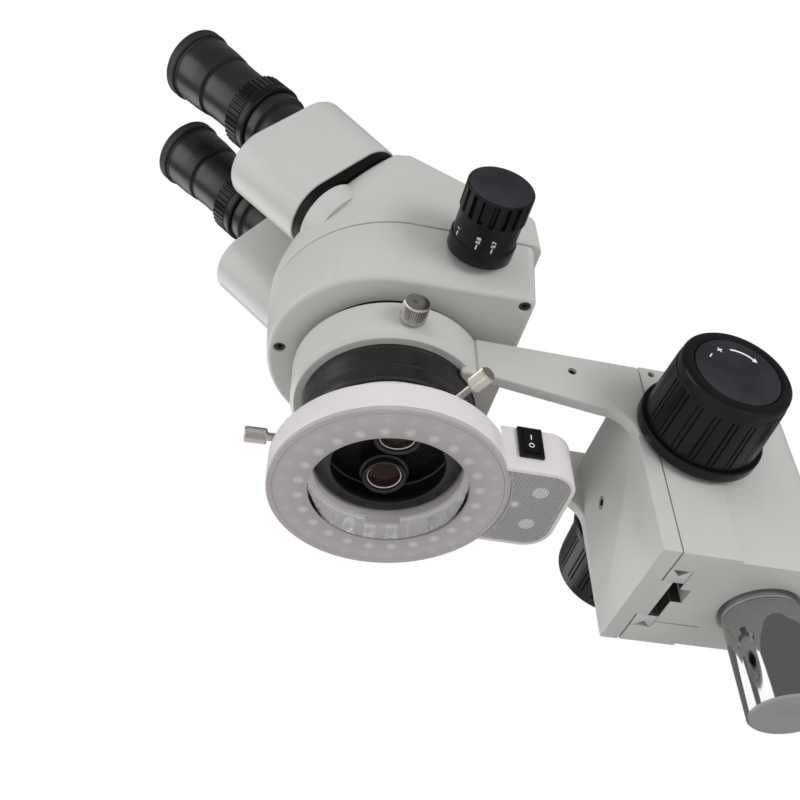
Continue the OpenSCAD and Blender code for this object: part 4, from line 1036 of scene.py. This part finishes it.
def diode_cover_finish():
    """The frosted face: rows of paler spots, painted light where the diodes stand close behind it, and
    painted shade towards its inner rim.
    """
    material = finish("frosted_diode_face", (0.455, 0.415, 0.42), 0.32, vary=0.04, grain=2500, bump=0.25)
    tree = material.node_tree
    shader = tree.nodes["Principled BSDF"]
    base = shader.inputs["Base Color"].links[0].from_socket
    place = tree.nodes.new("ShaderNodeTexCoord")
    split = tree.nodes.new("ShaderNodeSeparateXYZ")
    tree.links.new(place.outputs["Object"], split.inputs[0])

    def calc(operation, a, b=None):
        made = tree.nodes.new("ShaderNodeMath")
        made.operation = operation
        for index, value in enumerate((a, b)):
            if value is None:
                continue
            if isinstance(value, (int, float)):
                made.inputs[index].default_value = value
            else:
                tree.links.new(value, made.inputs[index])
        return made.outputs[0]

    def length(a, b):
        return calc("SQRT", calc("ADD", calc("MULTIPLY", a, a), calc("MULTIPLY", b, b)))

    x, y = split.outputs["X"], split.outputs["Y"]
    radius = length(x, y)
    angle = calc("ARCTAN2", y, x)
    spots = None
    # Painted light: a paler spot on the face over each diode, where light would show through from behind.
    for count, row, strength in DIODE_ROWS:
        sector = TURN / count
        turn = calc("FLOORED_MODULO", calc("ADD", angle, sector / 2), sector)
        across = calc("MULTIPLY", calc("SUBTRACT", turn, sector / 2), row)
        far = length(across, calc("SUBTRACT", radius, row))
        spot = calc("SUBTRACT", 1.0, calc("POWER", calc("DIVIDE", far, DIODE_SPOT), 2.0))
        spot = calc("MULTIPLY", calc("MAXIMUM", spot, 0.0), strength)
        spots = spot if spots is None else calc("MAXIMUM", spots, spot)
    # Painted shade: the face grows darker towards its inner rim.
    shade = calc("SUBTRACT", 1.0, calc("DIVIDE", calc("SUBTRACT", radius, SHADE_START), SHADE_WIDTH))
    shade = calc("MINIMUM", calc("MAXIMUM", shade, 0.0), 1.0)
    for amount, colour in ((calc("MULTIPLY", shade, 0.5), (0.34, 0.31, 0.32, 1)),
                           (spots, (0.78, 0.75, 0.75, 1))):
        mix = tree.nodes.new("ShaderNodeMix")
        mix.data_type = "RGBA"
        tree.links.new(amount, mix.inputs["Factor"])
        tree.links.new(base, mix.inputs["A"])
        mix.inputs["B"].default_value = colour
        base = mix.outputs["Result"]
    tree.links.new(base, shader.inputs["Base Color"])


def make_light_cover():
    face = [(BORE_R + 1.7, FRONT, 0.4), (46.8, FRONT, 0.1), (47.1, FRONT + 0.35, 0.1), (47.4, FRONT, 0.1),
            (LIGHT_R, FRONT, 1.3), (LIGHT_R, FRONT + 1.5, 0.1), (BORE_R + 1.7, FRONT + 1.1, 0.1)]
    cover = as_object("light_cover_frosted", revolve(rounded(face, steps=4), 192), HEAD)
    diode_cover_finish()
    piece(cover, "ring_light", "frosted_plastic", ["light_cover"], "frosted_diode_face")


PRISM_PITCH = 1.45
PRISM_R = 0.6
LENS_TOP = FRONT + 0.3
BOX_SCREW = (4, 52.4)
BOX_DIODES = ((13.5, 60.5), (-7.5, 61.5))


def prism_places(circles):
    """Points in staggered rows on the box cover, clear of its rim, of the ring and of the screw."""
    x0, y0, x1, y1 = BOX
    ways = [TURN * i / 24 for i in range(24)]
    for row in range(int((y1 - y0) / (PRISM_PITCH * 0.87))):
        y = y0 + row * PRISM_PITCH * 0.87
        for column in range(int((x1 - x0) / PRISM_PITCH)):
            x = x0 + (column + 0.5 * (row % 2)) * PRISM_PITCH
            spot = Vector((x, y))
            inside = all(Vector((math.cos(a), math.sin(a))).dot(spot - outline_at(circles, a, 3.0)) < 0
                         for a in ways)
            if inside and spot.length >= LIGHT_R + 1 and math.dist((x, y), BOX_SCREW) >= 2.6:
                yield x, y


def make_box_cover():
    """Clear cover with rows of small prisms, a screw and two diodes that shine through it."""
    circles = box_circles()
    lens = as_object("box_cover_prismatic", slab(circles, circles, LENS_TOP, -45.9, 0.1, 0.1, 2.1), HEAD)
    combine(lens, cylinder(LIGHT_R + 0.15, -60, 0, 160))
    piece(lens, "ring_light", "clear_plastic", ["box_cover"], "prismatic_plastic")

    prisms = bmesh.new()
    for x, y in prism_places(circles):
        ring = [prisms.verts.new((x + PRISM_R * math.cos(a), y + PRISM_R * math.sin(a), LENS_TOP + 0.02))
                for a in (0.2, 0.2 + TURN / 3, 0.2 + 2 * TURN / 3)]
        tip = prisms.verts.new((x, y, LENS_TOP - 0.22))
        prisms.faces.new(ring)
        for i in range(3):
            prisms.faces.new((ring[i], ring[(i + 1) % 3], tip))
    bmesh.ops.recalc_face_normals(prisms, faces=prisms.faces)
    # Painted shade: the prisms of the clear cover are dark, standing for the shade they catch.
    prisms = as_object("box_cover_prisms", prisms, HEAD)
    piece(prisms, "ring_light", "clear_plastic", look="prism_shade", smooth=10)

    dome = rounded([(0, 0), (1.0, 0.05), (1.6, 0.35, 0.3), (1.9, 0.9, 0.2), (1.9, 1.4, 0.1), (0, 1.4)])
    screw = place_bm(revolve(dome, 48), moved(*BOX_SCREW, FRONT + 0.02))
    piece(as_object("box_cover_screw", screw, HEAD), "ring_light", "clear_plastic", look="frosted_plastic")
    glow = rounded([(0, 0.25), (2.4, 0.25), (3.4, 0.28), (3.4, 0.4), (0, 0.4)], 0.02)
    glows = joined([place_bm(revolve(glow, 48), moved(x, y, FRONT)) for x, y in BOX_DIODES])
    piece(as_object("box_diode_lenses", glows, HEAD), "ring_light", "diode", look="diode_glow")


def make_switch():
    """The rocker switch on the box's side; each half of the rocker has its own slope and its own mark."""
    piece(as_object("switch_frame_moulded", softened("switch_frame", 0.35, shortest=0.3)), "ring_light",
          "black_plastic", ["switch_frame"])
    piece(as_object("switch_rocker_moulded", softened("switch_rocker", 0.3, shortest=0.3, sharp=20)),
          "light_switch", "black_plastic", ["switch_rocker"])
    x = BOX[2] + 1.8
    upper = HEAD @ moved(x + 0.27, SWITCH_Y, SWITCH_Z + 2) @ turned(7.8, "Y") @ ALONG_X
    lower = HEAD @ moved(x - 0.12, SWITCH_Y, SWITCH_Z - 2) @ turned(-3.4, "Y").inverted() @ ALONG_X
    stroke = place_bm(brick(-1.15, -0.2, -0.1, 1.15, 0.2, 0.08), upper)
    circle = rounded([(0.8, -0.1), (1.15, -0.1), (1.15, 0.08), (0.8, 0.08)], 0.0)
    ring = place_bm(revolve(circle, 48), lower)
    piece(as_object("switch_marks", joined([stroke, ring])), "light_switch", "white_plastic", look="marking")


# ---------------------------------------------------------------- camera, lights, floor

CAMERA_LENS = 44.96
CAMERA_AT = (309.483, -72.423, -301.197)
CAMERA_RIGHT = Vector((0.2359, 0.9717, -0.0083))
CAMERA_DOWN = Vector((-0.6754, 0.1578, -0.7204))
FLOOR_Z = -450
LIGHTING = 0.55
REFLECTED = 0.22
BACKDROP = 1.0


def make_camera():
    camera = bpy.data.cameras.new("camera")
    camera.sensor_width = 36
    camera.lens = CAMERA_LENS
    camera.clip_start = 0.01
    holder = bpy.data.objects.new("camera", camera)
    bpy.context.scene.collection.objects.link(holder)
    right = CAMERA_RIGHT.normalized()
    down = CAMERA_DOWN.normalized()
    ahead = right.cross(down).normalized()
    down = ahead.cross(right)
    pose = Matrix((right, -down, -ahead)).transposed().to_4x4()
    pose.translation = (HEAD @ moved(*CAMERA_AT)).translation
    holder.matrix_world = pose
    bpy.context.scene.camera = holder


def area_light(name, spot, target, size, watts, mirrored=True):
    light = bpy.data.lights.new(name, "AREA")
    light.shape = "DISK"
    light.size = size
    light.energy = watts
    holder = bpy.data.objects.new(name, light)
    bpy.context.scene.collection.objects.link(holder)
    holder.location = spot
    holder.visible_glossy = mirrored
    aim = Vector(target) - Vector(spot)
    holder.rotation_euler = aim.to_track_quat("-Z", "Y").to_euler()


def make_stage():
    """The floor, white surroundings that mirror darker than they light, and the lamps."""
    bm = bmesh.new()
    bmesh.ops.create_grid(bm, x_segments=4, y_segments=4, size=2500)
    floor = as_object("floor", bm, moved(0, 0, FLOOR_Z))
    floor.data.materials.append(finish("floor", (0.8, 0.8, 0.79), 0.7, vary=0.01, grain=300, patch=3))

    world = bpy.data.worlds.new("studio")
    bpy.context.scene.world = world
    world.use_nodes = True
    tree = world.node_tree
    path = tree.nodes.new("ShaderNodeLightPath")

    def background(strength, made=None):
        made = made or tree.nodes.new("ShaderNodeBackground")
        made.inputs["Color"].default_value = (1, 1, 1, 1)
        made.inputs["Strength"].default_value = strength
        return made

    def switched(ray, off, on):
        """One background for one kind of ray, and the other for the rest."""
        mix = tree.nodes.new("ShaderNodeMixShader")
        tree.links.new(path.outputs[ray], mix.inputs[0])
        tree.links.new(off.outputs[0], mix.inputs[1])
        tree.links.new(on.outputs[0], mix.inputs[2])
        return mix

    lit = switched("Is Glossy Ray", background(LIGHTING, tree.nodes["Background"]), background(REFLECTED))
    sky = switched("Is Camera Ray", lit, background(BACKDROP))
    tree.links.new(sky.outputs[0], tree.nodes["World Output"].inputs["Surface"])

    middle = HEAD.translation
    area_light("key", (0.9, -0.5, 0.55), middle, 0.7, 1.35, mirrored=False)
    area_light("side", (1.0, 0.6, -0.1), middle, 0.6, 6.4, mirrored=False)
    area_light("front", (0.2, -1.2, 0.3), middle, 0.9, 4.2)
    area_light("left", (-0.9, -0.9, 0.3), middle, 0.9, 4)
    bpy.context.scene.view_settings.view_transform = "Standard"


make_camera()
finish_cad_nodes()
make_head()
make_barrel()
make_objective()
make_arm_and_block()
make_clamp_knob()
make_focus_knobs()
make_zoom_knobs()
make_thumbscrews()
for eye_side, eye_name in ((-1, "left"), (1, "right")):
    make_prism_housing(eye_side, eye_name)
    make_eyepiece(eye_side, eye_name)
make_light_housing()
make_light_cover()
make_box_cover()
make_switch()
make_stage()
